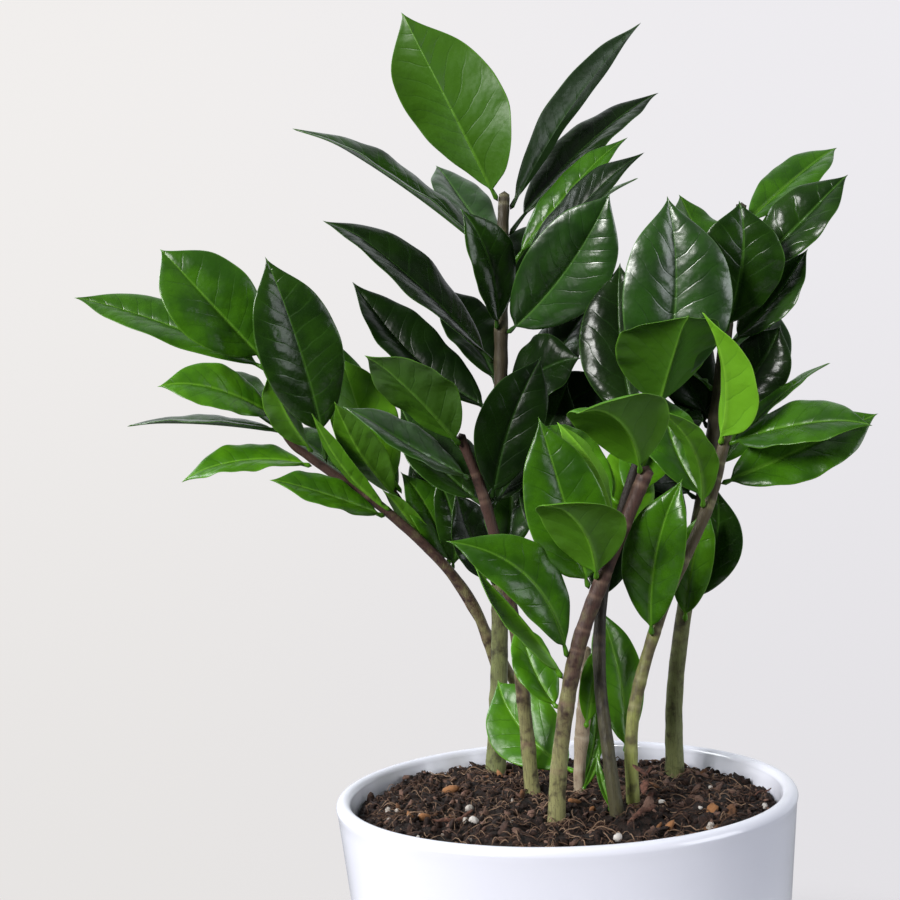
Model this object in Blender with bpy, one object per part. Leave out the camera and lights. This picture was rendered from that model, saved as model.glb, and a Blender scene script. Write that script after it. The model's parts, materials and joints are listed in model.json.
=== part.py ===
"""A potted ZZ plant: a glazed pot, its soil, nine stems and the leaflets that the stems carry.

Everything is in metres, +Z up.  The origin is the middle of the pot's flat foot, +X is the plant's
right and +Y its back.  The pot and the soil are turned profiles.  A stem is a round, tapering tube
along a smooth curve through a few chosen points.  A leaflet is a thin closed blade: a row of rings
along its midrib, folded along that midrib, bowed along its length and drawn to a point.
"""

import math
from dataclasses import dataclass

import bmesh
import bpy
import numpy as np
from mathutils import Matrix, Vector

# ---------------------------------------------------------------- driving dimensions (metres)
MM = 0.001
GAP = 0.0003  # left between pieces that touch

POT_HEIGHT = 0.150
POT_RIM_RADIUS = 0.092
POT_WALL = 0.006
POT_TAPER = math.radians(6.3)
POT_FOOT_ROUND = 0.006
POT_FLOOR = 0.008
POT_SIDES = 48

SOIL_EDGE_HEIGHT = 0.1425
SOIL_CROWN = 0.0035
SOIL_SIDES = 40

STEM_SIDES = 8
STEM_RINGS = 14
SOCKET_SIDES = 16
SOCKET_DEPTH = 0.016  # the cutter runs from under the stem to above the soil
SOCKET_GAP = 0.0007

BLADE_THICKNESS = 0.0011
PETIOLE_RADIUS = 0.0010
BLADE_STATIONS = (0.08, 0.22, 0.38, 0.54, 0.70, 0.84, 0.94)  # shares of the blade's length
BLADE_BULGE = 0.07  # how far each half swells upward, as a share of its breadth

# ---------------------------------------------------------------- finishes


@dataclass(frozen=True)
class Finish:
    """A Principled finish: its name, linear colour and roughness."""

    name: str
    colour: tuple
    roughness: float


GLAZE = Finish("pot_glaze", (0.80, 0.81, 0.86), 0.18)
PEAT = Finish("potting_soil", (0.035, 0.018, 0.011), 0.95)
BROWN_STEM = Finish("stem_brown", (0.105, 0.060, 0.042), 0.55)
GREEN_STEM = Finish("stem_green", (0.140, 0.150, 0.060), 0.50)
DARK_LEAF = Finish("leaf_dark", (0.008, 0.035, 0.008), 0.28)
MID_LEAF = Finish("leaf_mid", (0.020, 0.100, 0.012), 0.30)
YOUNG_LEAF = Finish("leaf_young", (0.095, 0.300, 0.012), 0.38)

# ---------------------------------------------------------------- the plant, in millimetres


@dataclass(frozen=True)
class Stem:
    """A stem: points of its centre line from the soil up, radius at the soil and at its end."""

    name: str
    route: tuple
    foot_radius: float
    end_radius: float
    finish: Finish


@dataclass(frozen=True)
class Leaf:
    """A leaflet on a stem.

    height: where its foot meets the stem, above the pot's base.
    reach:  from its foot to its tip, as (right, back, up).
    width:  across the widest place, measured along the surface.
    face:   the way its glossy upper side looks.
    fold:   degrees that each half is raised towards the upper side.
    bend:   how far the midrib's middle stands off the straight line, as (right, back, up).
    petiole: the bare stalk's share of the length.
    """

    name: str
    height: float
    reach: tuple
    width: float
    face: tuple
    fold: float
    bend: tuple
    finish: Finish
    petiole: float = 0.05


STEMS = {
    "a": Stem(
        "stem_a",
        ((-12, 77, 140), (-24, 74, 194), (-37, 70, 227), (-68, 64, 262), (-101, 58, 288), (-113, 55, 302),
         (-118, 51, 335)),
        3.0, 1.6, BROWN_STEM,
    ),
    "b": Stem(
        "stem_b",
        ((2, 77, 140), (-17, 84, 185), (-37, 82, 224), (-55, 78, 252), (-70, 72, 278)),
        2.6, 1.7, BROWN_STEM,
    ),
    "c": Stem(
        "stem_c",
        ((-26, 64, 140), (-22, 65, 184), (-18, 62, 250), (-15, 57, 311), (-11, 51, 378), (-9, 50, 401)),
        4.6, 2.4, GREEN_STEM,
    ),
    "d": Stem(
        "stem_d",
        ((-12, 9, 140), (-14, 8, 184), (-17, 5, 222), (-26, 0, 267), (-34, -5, 292)),
        3.2, 2.0, BROWN_STEM,
    ),
    "e": Stem(
        "stem_e",
        ((-6, -31, 140), (-3, -32, 169), (5, -34, 207), (17, -36, 237), (34, -40, 274)),
        3.4, 2.7, BROWN_STEM,
    ),
    "f": Stem(
        "stem_f",
        ((6, 7, 140), (10, 5, 177), (13, 4, 203)),
        2.1, 1.6, BROWN_STEM,
    ),
    "g": Stem(
        "stem_g",
        ((18, -33, 140), (16, -30, 164), (15, -20, 200), (21, -8, 236), (37, 3, 278), (49, 8, 303)),
        2.9, 2.0, BROWN_STEM,
    ),
    "h": Stem(
        "stem_h",
        ((25, -22, 140), (27, -20, 179), (41, -17, 220), (62, -12, 259), (72, -8, 288)),
        2.7, 2.2, GREEN_STEM,
    ),
    "i": Stem(
        "stem_i",
        ((51, 37, 140), (53, 35, 181), (62, 32, 232), (74, 26, 291), (82, 20, 342), (89, 17, 384)),
        4.2, 2.2, GREEN_STEM,
    ),
}

LEAVES = {
    "a": (
        Leaf("leaf_a1", 330, (-86, 8, 38), 27, (2, -5, 4), 12, (0, 0, 3), MID_LEAF),
        Leaf("leaf_a2", 334, (-41, -10, 50), 40, (1, -6, 2), 10, (0, -3, 0), MID_LEAF),
        Leaf("leaf_a3", 285, (-19, -28, 88), 38, (2, -6, -1), 12, (3, -3, 0), DARK_LEAF, 0.16),
        Leaf("leaf_a4", 308, (-46, -22, 16), 26, (1, -4, 3), 14, (0, -2, 5), MID_LEAF),
        Leaf("leaf_a5", 303, (-70, 10, 7), 24, (0, -1, 6), 10, (0, 0, 2), MID_LEAF),
        Leaf("leaf_a6", 288, (-56, -8, -3), 25, (0, -3, 5), 12, (0, -1, 5), MID_LEAF),
        Leaf("leaf_a7", 263, (-46, -26, 19), 24, (1, -4, 5), 12, (0, -3, 1), DARK_LEAF),
        Leaf("leaf_a8", 290, (-14, -18, 38), 18, (-4, 5, -1), 18, (-3, -5, 0), YOUNG_LEAF),
    ),
    "b": (
        Leaf("leaf_b1", 270, (-23, -12, 63), 33, (2, -5, 1), 12, (-3, -3, 0), MID_LEAF, 0.1),
        Leaf("leaf_b2", 270, (-23, -34, 43), 20, (1, 5, 4), 14, (-2, 0, -2), MID_LEAF),
        Leaf("leaf_b4", 236, (-19, -8, 43), 22, (3, -5, 1), 14, (2, 0, 0), DARK_LEAF),
    ),
    "c": (
        Leaf("leaf_c1", 400, (-38, -18, 79), 48, (6, 8, 2), 20, (0, -4, 0), MID_LEAF),
        Leaf("leaf_c2", 397, (64, 18, 87), 23, (-7, 5, 4), 16, (-4, 0, 1), DARK_LEAF),
        Leaf("leaf_c3", 385, (75, 32, 71), 26, (-4, -6, 3), 16, (-4, 3, 3), DARK_LEAF, 0.12),
        Leaf("leaf_c4", 370, (53, -7, 55), 20, (-4, -6, 4), 12, (-2, -2, 1), MID_LEAF, 0.12),
        Leaf("leaf_c5", 361, (56, -34, 50), 25, (-4, -4, 4), 12, (-1, -4, 1), DARK_LEAF, 0.12),
        Leaf("leaf_c6", 341, (43, -41, 51), 38, (-2, -7, -3), 14, (4, -4, -2), DARK_LEAF),
        Leaf("leaf_c8", 375, (-84, -10, 62), 28, (4, -3, 6), 18, (1, -1, 3), DARK_LEAF),
        Leaf("leaf_c9", 379, (-25, 34, 48), 26, (3, -7, 3), 12, (-1, 0, 0), DARK_LEAF),
        Leaf("leaf_c10", 328, (-69, -10, 68), 32, (4, -5, 5), 14, (0, -3, 4), DARK_LEAF),
        Leaf("leaf_c11", 343, (-13, -32, 47), 26, (5, -6, -1), 14, (4, -2, 2), DARK_LEAF),
        Leaf("leaf_c12", 306, (-60, 14, 65), 34, (4, -6, 3), 24, (-5, 0, -5), DARK_LEAF),
        Leaf("leaf_c13", 300, (39, -6, 53), 30, (-5, -5, 2), 12, (1, 0, 1), DARK_LEAF),
        Leaf("leaf_d4", 312, (30, -25, 14), 34, (-4, -8, 4), 14, (0, -3, 3), DARK_LEAF),
    ),
    "d": (
        Leaf("leaf_d1", 291, (-33, -35, 35), 30, (2, 5, 5), 12, (1, -3, 1), MID_LEAF),
        Leaf("leaf_d2", 277, (-47, -12, 32), 26, (4, -4, 6), 14, (0, -1, -2), DARK_LEAF),
        Leaf("leaf_d5", 267, (22, -10, 55), 28, (1, -6, 0), 14, (-3, -3, 1), DARK_LEAF),
    ),
    "e": (
        Leaf("leaf_e1", 275, (-25, -32, 24), 36, (2, 5, 6), 12, (4, -5, 6), YOUNG_LEAF),
        Leaf("leaf_e2", 253, (-19, -2, 40), 18, (-4, 4, -2), 16, (4, 0, 2), YOUNG_LEAF),
        Leaf("leaf_e3", 231, (-16, -10, 64), 31, (0, -6, 0), 12, (0, -2, 0), MID_LEAF),
        Leaf("leaf_e4", 235, (-20, -32, 31), 32, (2, 5, 5), 12, (4, -5, 4), YOUNG_LEAF),
        Leaf("leaf_e5", 206, (-42, -16, 46), 24, (1, -5, 2), 12, (7, -2, 8), MID_LEAF),
        Leaf("leaf_e6", 198, (-32, -6, 43), 18, (-5, 2, -4), 16, (1, 0, 2), YOUNG_LEAF),
        Leaf("leaf_e7", 186, (-12, 12, 33), 17, (2, -6, 1), 10, (-2, 0, -2), MID_LEAF),
    ),
    "f": (
        Leaf("leaf_f1", 153, (-29, 28, 35), 31, (1, -6, 0), 8, (-5, 4, -3), MID_LEAF),
    ),
    "g": (
        Leaf("leaf_r1", 302, (7, -16, 81), 45, (0, -7, -1), 8, (5, -3, 0), DARK_LEAF),
        Leaf("leaf_r2", 290, (-3, 12, 72), 34, (-2, -6, 1), 10, (-3, 3, 0), DARK_LEAF),
        Leaf("leaf_r3", 300, (7, -38, 34), 47, (-1, 4, 5), 22, (0, -4, 2), YOUNG_LEAF),
    ),
    "h": (
        Leaf("leaf_h3", 166, (-5, 24, 54), 20, (-1, -6, 1), 12, (3, 0, 0), MID_LEAF),
        Leaf("leaf_h1", 211, (11, -20, 59), 25, (-3, -6, -1), 16, (-4, -1, 1), MID_LEAF),
        Leaf("leaf_h2", 259, (-22, -30, 39), 17, (5, 4, 1), 14, (6, 0, 3), YOUNG_LEAF),
        Leaf("leaf_r4", 284, (-9, -26, 49), 26, (8, 3, 3), 28, (5, -2, 1), YOUNG_LEAF),
        Leaf("leaf_r11", 285, (46, -30, 5), 27, (0, -5, 5), 8, (1, 0, 3), MID_LEAF),
        Leaf("leaf_r12", 270, (62, -2, 25), 28, (-1, -6, 3), 12, (0, -1, -1), MID_LEAF),
    ),
    "i": (
        Leaf("leaf_r5", 333, (5, -18, 50), 36, (0, -6, 0), 12, (3, -3, 1), MID_LEAF),
        Leaf("leaf_r6", 378, (46, 18, 36), 22, (-2, -5, 3), 12, (0, 0, 1), MID_LEAF),
        Leaf("leaf_r7", 354, (44, -10, 41), 27, (-3, -5, 2), 14, (1, -1, 0), DARK_LEAF),
        Leaf("leaf_r8", 329, (31, -6, 37), 24, (-4, -5, 3), 12, (2, 0, -2), DARK_LEAF),
        Leaf("leaf_r9", 296, (29, 12, 49), 30, (-3, -6, 2), 14, (3, 0, -1), DARK_LEAF),
    ),
}

# ---------------------------------------------------------------- geometry


def unit(vector):
    """The vector at length one."""
    vector = np.asarray(vector, float)
    return vector / np.linalg.norm(vector)


def smooth_route(points, count):
    """COUNT points, evenly spread, on a Catmull-Rom curve through POINTS."""
    knots = np.asarray(points, float)
    ends = np.vstack([2 * knots[0] - knots[1], knots, 2 * knots[-1] - knots[-2]])
    place = np.linspace(0, len(knots) - 1, count)
    span = np.minimum(place.astype(int), len(knots) - 2)
    t = (place - span)[:, None]
    before, start, end, after = (ends[span + k] for k in range(4))
    return 0.5 * (
        2 * start
        + (end - before) * t
        + (2 * before - 5 * start + 4 * end - after) * t**2
        + (3 * start - before - 3 * end + after) * t**3
    )


def closed_rings(rings, first_pole, last_pole):
    """Vertices and faces of a closed skin over rings of equal count, with a point at each end."""
    count = len(rings[0])
    vertices = [tuple(first_pole)] + [tuple(p) for ring in rings for p in ring] + [tuple(last_pole)]
    last = len(vertices) - 1
    faces = []
    for j in range(count):
        k = (j + 1) % count
        faces.append((0, 1 + k, 1 + j))
        for row in range(len(rings) - 1):
            low, high = 1 + row * count, 1 + (row + 1) * count
            faces.append((low + j, low + k, high + k, high + j))
        final = 1 + (len(rings) - 1) * count
        faces.append((last, final + j, final + k))
    return vertices, faces


def stem_line(stem):
    """The stem's centre line in metres, and its radius at each point."""
    line = smooth_route(stem.route, STEM_RINGS) * MM
    radius = np.linspace(stem.foot_radius, stem.end_radius, STEM_RINGS) * MM
    return line, radius


def stem_mesh(stem):
    """A round tube along the stem's centre line, closed by a low cone at each end."""
    line, radius = stem_line(stem)
    rings = []
    for centre, heading, size in zip(line, np.gradient(line, axis=0), radius):
        ahead = unit(heading)
        right = unit(np.cross(ahead, (0.0, 1.0, 0.0)))
        back = np.cross(ahead, right)
        angles = 2 * math.pi * np.arange(STEM_SIDES) / STEM_SIDES
        rings.append([centre + size * (math.cos(a) * right + math.sin(a) * back) for a in angles])
    tip = line[-1] + 0.6 * radius[-1] * unit(line[-1] - line[-2])
    return closed_rings(rings, line[0] - np.array((0.0, 0.0, 0.0004)), tip)


def blade_breadth(share):
    """Half the blade's breadth, from 0 to 1, at a share of its length past the petiole."""
    return math.sin(math.pi * share**0.95) ** 0.68


def leaf_foot(leaf, stem):
    """Where the leaflet's petiole starts: on the stem's skin, towards the leaflet's tip."""
    line, radius = stem_line(stem)
    height = leaf.height * MM
    centre = np.array([np.interp(height, line[:, 2], line[:, axis]) for axis in range(3)])
    size = float(np.interp(height, line[:, 2], radius))
    index = int(np.clip(np.searchsorted(line[:, 2], height), 1, len(line) - 1))
    along = unit(line[index] - line[index - 1])
    towards = unit(leaf.reach)
    outward = unit(towards - along * np.dot(towards, along))
    lean = abs(float(np.dot(towards, along)))
    return centre + outward * (size + GAP + PETIOLE_RADIUS * lean)


def leaf_mesh(leaf, stem):
    """A closed blade: six-cornered rings along a bowed midrib, ending in a point."""
    foot = leaf_foot(leaf, stem)
    reach = np.array(leaf.reach, float) * MM
    ahead = unit(reach)
    face = np.array(leaf.face, float)
    up = unit(face - ahead * np.dot(face, ahead))
    side = np.cross(ahead, up)
    bend = np.array(leaf.bend, float) * MM
    fold = math.radians(leaf.fold)

    def midrib(share):
        return foot + reach * share + bend * (4 * share * (1 - share))

    rings = []
    blade = tuple(leaf.petiole + (1 - leaf.petiole) * station for station in BLADE_STATIONS)
    for share in (0.02, leaf.petiole) + blade:
        centre = midrib(share)
        heading = unit(midrib(share + 0.01) - midrib(share - 0.01))
        lift = unit(up - heading * np.dot(up, heading))
        if share <= leaf.petiole:
            half, raised, thick = PETIOLE_RADIUS, 0.0, PETIOLE_RADIUS
        else:
            half = 0.5 * leaf.width * MM * blade_breadth((share - leaf.petiole) / (1 - leaf.petiole))
            raised, thick = fold, BLADE_THICKNESS
        across = side * math.cos(raised)
        rise = lift * math.sin(raised)
        swell = lift * (BLADE_BULGE * half + 0.4 * thick)
        rings.append(
            [
                centre + half * (-across + rise),
                centre + 0.5 * half * (-across + rise) + swell,
                centre + 0.5 * thick * lift,
                centre + 0.5 * half * (across + rise) + swell,
                centre + half * (across + rise),
                centre - thick * lift,
            ]
        )
    return closed_rings(rings, foot, midrib(1.0))


def turned(profile, sides):
    """Vertices and faces of a profile of (radius, height) points turned about Z.

    The profile starts and ends on the axis, and runs down the outside first.
    """
    turns = 2 * math.pi * np.arange(sides) / sides
    rings = [[(r * math.cos(a), r * math.sin(a), z) for a in turns] for r, z in profile[1:-1]]
    vertices, faces = closed_rings(rings, (0, 0, profile[0][1]), (0, 0, profile[-1][1]))
    return vertices, [tuple(reversed(face)) for face in faces]


def outer_radius(height):
    """The pot's outer radius at a height: a straight taper from the rim."""
    return POT_RIM_RADIUS - (POT_HEIGHT - height) * math.tan(POT_TAPER)


def pot_profile():
    """Inside floor, inner wall, rounded lip, outer wall, rounded foot and flat base."""
    lip = POT_WALL / 2
    lip_middle = (POT_RIM_RADIUS - lip, POT_HEIGHT - lip)
    points = [(0, POT_FLOOR), (outer_radius(POT_FLOOR) - POT_WALL - 0.004, POT_FLOOR)]
    points.append((outer_radius(POT_FLOOR + 0.004) - POT_WALL, POT_FLOOR + 0.004))
    for turn in np.linspace(math.pi, 0, 7):
        points.append((lip_middle[0] + lip * math.cos(turn), lip_middle[1] + lip * math.sin(turn)))
    foot = (outer_radius(POT_FOOT_ROUND) - POT_FOOT_ROUND, POT_FOOT_ROUND)
    for turn in np.linspace(0, -math.pi / 2, 5):
        points.append((foot[0] + POT_FOOT_ROUND * math.cos(turn), foot[1] + POT_FOOT_ROUND * math.sin(turn)))
    points.append((0, 0))
    return points


def soil_surface(radius):
    """The soil's height at a distance from the pot's axis: a low crown in the middle."""
    return SOIL_EDGE_HEIGHT + SOIL_CROWN * (1 - (radius / POT_RIM_RADIUS) ** 2)


def soil_profile():
    """A plug that fills the pot from its floor to the crowned surface."""
    inner_top = outer_radius(SOIL_EDGE_HEIGHT) - POT_WALL - 2 * GAP
    inner_low = outer_radius(POT_FLOOR + 0.004) - POT_WALL - 2 * GAP
    floor = POT_FLOOR + GAP
    points = [(0, soil_surface(0))]
    points += [(r, soil_surface(r)) for r in (0.25 * inner_top, 0.5 * inner_top, 0.75 * inner_top, inner_top)]
    points += [(inner_low, floor + 0.004), (inner_low - 0.005, floor), (0, floor)]
    return points


# ---------------------------------------------------------------- objects


def material_for(finish):
    """The finish's material, made once."""
    material = bpy.data.materials.get(finish.name)
    if material is None:
        material = bpy.data.materials.new(finish.name)
        material.use_nodes = True
        shader = material.node_tree.nodes["Principled BSDF"]
        shader.inputs["Base Color"].default_value = (*finish.colour, 1.0)
        shader.inputs["Roughness"].default_value = finish.roughness
        shader.inputs["Metallic"].default_value = 0.0
    return material


def add_object(name, shape, finish, parent):
    """A smooth-shaded mesh object with its finish, under PARENT."""
    vertices, faces = shape
    mesh = bpy.data.meshes.new(name)
    mesh.from_pydata(vertices, [], faces)
    mesh.materials.append(material_for(finish))
    mesh.shade_smooth()
    mesh.set_sharp_from_angle(angle=math.radians(40))
    piece = bpy.data.objects.new(name, mesh)
    bpy.context.scene.collection.objects.link(piece)
    piece.parent = parent
    return piece


def add_sockets(soil, parent):
    """Round holes in the soil, one for each stem's root end, cut by hidden cylinders."""
    cutters = bmesh.new()
    for stem in STEMS.values():
        line, radius = stem_line(stem)
        heading = Vector(line[1] - line[0]).normalized()
        middle = Vector(line[0]) + heading * (SOCKET_DEPTH / 2 - SOCKET_GAP)
        turn = heading.to_track_quat("Z", "X").to_matrix().to_4x4()
        bmesh.ops.create_cone(
            cutters, cap_ends=True, segments=SOCKET_SIDES, depth=SOCKET_DEPTH,
            radius1=radius[0] + SOCKET_GAP, radius2=radius[0] + SOCKET_GAP,
            matrix=Matrix.Translation(middle) @ turn,
        )
    mesh = bpy.data.meshes.new("stem_sockets")
    cutters.to_mesh(mesh)
    cutters.free()
    cutter = bpy.data.objects.new("stem_sockets", mesh)
    bpy.context.scene.collection.objects.link(cutter)
    cutter.parent = parent
    cutter.hide_render = True
    cutter.display_type = "WIRE"
    cut = soil.modifiers.new("sockets", "BOOLEAN")
    cut.operation = "DIFFERENCE"
    cut.object = cutter


def main():
    """Builds the pot, the soil, the stems and their leaflets."""
    for old in list(bpy.data.objects):
        bpy.data.objects.remove(old)
    plant = bpy.data.objects.new("potted_zz_plant", None)
    bpy.context.scene.collection.objects.link(plant)
    add_object("pot", turned(pot_profile(), POT_SIDES), GLAZE, plant)
    soil = add_object("soil", turned(soil_profile(), SOIL_SIDES), PEAT, plant)
    add_sockets(soil, plant)
    for key, stem in STEMS.items():
        add_object(stem.name, stem_mesh(stem), stem.finish, plant)
        for leaf in LEAVES.get(key, ()):
            add_object(leaf.name, leaf_mesh(leaf, stem), leaf.finish, plant)


main()
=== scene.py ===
"""A potted ZZ plant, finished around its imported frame.

The frame gives every stem's line and every leaflet's place.  Each leaflet of the frame is read
back into a few numbers (foot, reach, bow, fold, breadth) and rebuilt as a fine blade with a sunk
midrib, a raised rib below, a thin wavy margin and a drip tip.  Each stem becomes a fine tube with
scars and swellings.  The pot is turned again in fine steps, and the soil is a rough bed that
carries crumbs, coir fibres, bark, perlite, sticks and dried husks.
"""

import json
import logging
import math
from dataclasses import dataclass, field
from enum import Enum

import bpy
import numpy as np
from mathutils import Matrix, Vector


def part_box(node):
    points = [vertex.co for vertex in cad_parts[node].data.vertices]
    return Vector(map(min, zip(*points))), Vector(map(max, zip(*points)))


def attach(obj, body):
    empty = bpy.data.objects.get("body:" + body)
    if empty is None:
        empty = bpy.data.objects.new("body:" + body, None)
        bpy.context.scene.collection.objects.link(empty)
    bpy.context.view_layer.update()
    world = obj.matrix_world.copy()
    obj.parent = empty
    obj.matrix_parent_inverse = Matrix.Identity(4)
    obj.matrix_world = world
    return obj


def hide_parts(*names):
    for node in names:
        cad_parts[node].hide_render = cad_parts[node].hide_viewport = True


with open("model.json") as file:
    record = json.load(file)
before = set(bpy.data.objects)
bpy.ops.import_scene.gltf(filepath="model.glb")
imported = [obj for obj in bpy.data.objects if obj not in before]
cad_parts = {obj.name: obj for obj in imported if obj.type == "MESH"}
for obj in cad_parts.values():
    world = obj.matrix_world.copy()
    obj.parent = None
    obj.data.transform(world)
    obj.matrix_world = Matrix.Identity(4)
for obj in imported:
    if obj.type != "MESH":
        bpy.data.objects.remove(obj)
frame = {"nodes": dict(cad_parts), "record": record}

LOG = logging.getLogger("zz_plant")
MM = 0.001
ROOT = "root"
Socket = bpy.types.NodeSocket
Value = Socket | float | tuple

# ------------------------------------------------------------------ small numeric helpers


def unit(vectors: np.ndarray) -> np.ndarray:
    """Vectors along the last axis, each at length one."""
    vectors = np.asarray(vectors, float)
    return vectors / np.maximum(np.linalg.norm(vectors, axis=-1, keepdims=True), 1e-12)


def smoothstep(value: np.ndarray, low: float, high: float) -> np.ndarray:
    """0 below LOW, 1 above HIGH, and a cubic ease in between."""
    t = np.clip((np.asarray(value, float) - low) / (high - low), 0.0, 1.0)
    return t * t * (3.0 - 2.0 * t)


def swirl(points: np.ndarray, wavelength: float, seed: int, waves: int = 9) -> np.ndarray:
    """Smooth noise: the mean of WAVES sines along random directions, about -1 to 1.

    Args:
        points: (..., 3) places.
        wavelength: the mean length of a wave.
        seed: the number that its ways and phases follow.
        waves: how many sines.

    Returns:
        One number a place.
    """
    chance = np.random.default_rng(seed)
    ways = unit(chance.normal(size=(waves, 3)))
    lengths = wavelength * chance.uniform(0.7, 1.5, waves)
    phases = chance.uniform(0, 2 * math.pi, waves)
    turns = 2 * math.pi * (points @ ways.T) / lengths + phases
    return np.sin(turns).sum(axis=-1) / math.sqrt(waves)


# ------------------------------------------------------------------ closed skins


@dataclass
class Skin:
    """A closed surface and the numbers it carries.

    points: (n, 3) places in metres.
    quads:  (q, 4) corner numbers.
    tris:   (t, 3) corner numbers.
    floats: one number a point, by name.
    vectors: three numbers a point, by name.
    """

    points: np.ndarray
    quads: np.ndarray
    tris: np.ndarray
    floats: dict = field(default_factory=dict)
    vectors: dict = field(default_factory=dict)

    def outward(self) -> "Skin":
        """The same skin with its faces turned outwards, judged by the sign of its volume.

        Returns:
            This skin itself.
        """
        fans = np.vstack([self.quads[:, [0, 1, 2]], self.quads[:, [0, 2, 3]], self.tris])
        a, b, c = (self.points[fans[:, k]] for k in range(3))
        if np.einsum("ij,ij->i", a, np.cross(b, c)).sum() < 0:
            self.quads = self.quads[:, ::-1]
            self.tris = self.tris[:, ::-1]
        return self


def skin_over(rings: np.ndarray, first: np.ndarray, last: np.ndarray) -> Skin:
    """A closed skin over rings of points, with one point at each end.

    Args:
        rings: (rows, corners, 3) points; each row is one closed loop.
        first: the point that closes the first ring.
        last: the point that closes the last ring.

    Returns:
        The skin, with the end points as its first and last points.
    """
    rows, corners = rings.shape[:2]
    points = np.vstack([np.reshape(first, (1, 3)), rings.reshape(-1, 3), np.reshape(last, (1, 3))])
    j = np.arange(corners)
    k = (j + 1) % corners
    base = 1 + corners * np.arange(rows - 1)[:, None]
    quads = np.stack([base + j, base + k, base + corners + k, base + corners + j], axis=-1)
    end = 1 + corners * (rows - 1)
    tris = np.vstack(
        [
            np.stack([np.zeros_like(j), 1 + k, 1 + j], axis=-1),
            np.stack([np.full_like(j, len(points) - 1), end + j, end + k], axis=-1),
        ]
    )
    return Skin(points, quads.reshape(-1, 4), tris).outward()


def merged(skins: list) -> Skin:
    """Several skins as one, with their carried numbers kept.

    Args:
        skins: the skins, which carry the same names.

    Returns:
        One skin with all their points and faces.
    """
    starts = np.cumsum([0] + [len(s.points) for s in skins[:-1]])
    return Skin(
        np.vstack([s.points for s in skins]),
        np.vstack([s.quads + n for s, n in zip(skins, starts)]),
        np.vstack([s.tris + n for s, n in zip(skins, starts)]),
        {key: np.concatenate([s.floats[key] for s in skins]) for key in skins[0].floats},
        {key: np.vstack([s.vectors[key] for s in skins]) for key in skins[0].vectors},
    )


def add_piece(name: str, skin: Skin, material: bpy.types.Material, slot: str,
              *replaced: str) -> bpy.types.Object:
    """Makes a skin an object of the plant.

    Args:
        name: the piece's name.
        skin: its surface.
        material: what it is dressed in.
        slot: the record's material slot that the finish belongs to; not used.
        replaced: the frame's nodes that it stands for.

    Returns:
        The object, which rides on the plant's one body.
    """
    mesh = bpy.data.meshes.new(name)
    quads, tris = len(skin.quads), len(skin.tris)
    corners = np.concatenate([skin.quads.ravel(), skin.tris.ravel()]).astype(np.int32)
    starts = np.concatenate([4 * np.arange(quads), 4 * quads + 3 * np.arange(tris)])
    mesh.vertices.add(len(skin.points))
    mesh.vertices.foreach_set("co", skin.points.astype(np.float32).ravel())
    mesh.loops.add(len(corners))
    mesh.loops.foreach_set("vertex_index", corners)
    mesh.polygons.add(quads + tris)
    mesh.polygons.foreach_set("loop_start", starts.astype(np.int32))
    mesh.update(calc_edges=True)
    mesh.validate()
    for key, values in skin.floats.items():
        mesh.attributes.new(key, "FLOAT", "POINT").data.foreach_set(
            "value", np.asarray(values, np.float32)
        )
    for key, values in skin.vectors.items():
        mesh.attributes.new(key, "FLOAT_VECTOR", "POINT").data.foreach_set(
            "vector", np.asarray(values, np.float32).ravel()
        )
    mesh.shade_smooth()
    mesh.materials.append(material)
    piece = bpy.data.objects.new(name, mesh)
    bpy.context.scene.collection.objects.link(piece)
    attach(piece, ROOT)
    if replaced:
        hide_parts(*replaced)
    return piece


# ------------------------------------------------------------------ reading the frame


def node_rings(name: str) -> list:
    """A node's points as rings, from one end's point to the other's.

    A leaflet or stem of the frame is a skin over rings with one point at each end.  Its two end
    points are the pair that most edges lie between, so counting edges from one of them sorts
    every other point into its ring.

    Args:
        name: the node.

    Returns:
        One (n, 3) array a ring, both end points included, the slimmer end first.
    """
    mesh = frame["nodes"][name].data
    places = np.empty(3 * len(mesh.vertices))
    mesh.vertices.foreach_get("co", places)
    corners = np.empty(len(mesh.loops), np.int32)
    mesh.loops.foreach_get("vertex_index", corners)
    places = places.reshape(-1, 3)
    keys = np.round(places * 1e5).astype(np.int64)
    _, first, same = np.unique(keys, axis=0, return_index=True, return_inverse=True)
    tris = same.reshape(-1)[corners.reshape(-1, 3)]
    points = places[first]
    count = len(points)
    joined = np.zeros((count, count), int)
    for a, b in ((0, 1), (1, 2), (2, 0)):
        joined[tris[:, a], tris[:, b]] = joined[tris[:, b], tris[:, a]] = 1
    steps = np.full((count, count), -1)
    seen = np.eye(count, dtype=int)
    steps[seen > 0] = 0
    walked = 0
    while (steps < 0).any():
        walked += 1
        seen = ((seen @ joined + seen) > 0).astype(int)
        steps[(seen > 0) & (steps < 0)] = walked
    ends = np.flatnonzero(steps.max(axis=1) == steps.max())
    girth = [
        np.linalg.norm(points[joined[e] > 0] - points[e], axis=1).mean() for e in ends
    ]
    start = steps[ends[int(np.argmin(girth))]]
    return [points[start == level] for level in range(start.max() + 1)]


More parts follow.
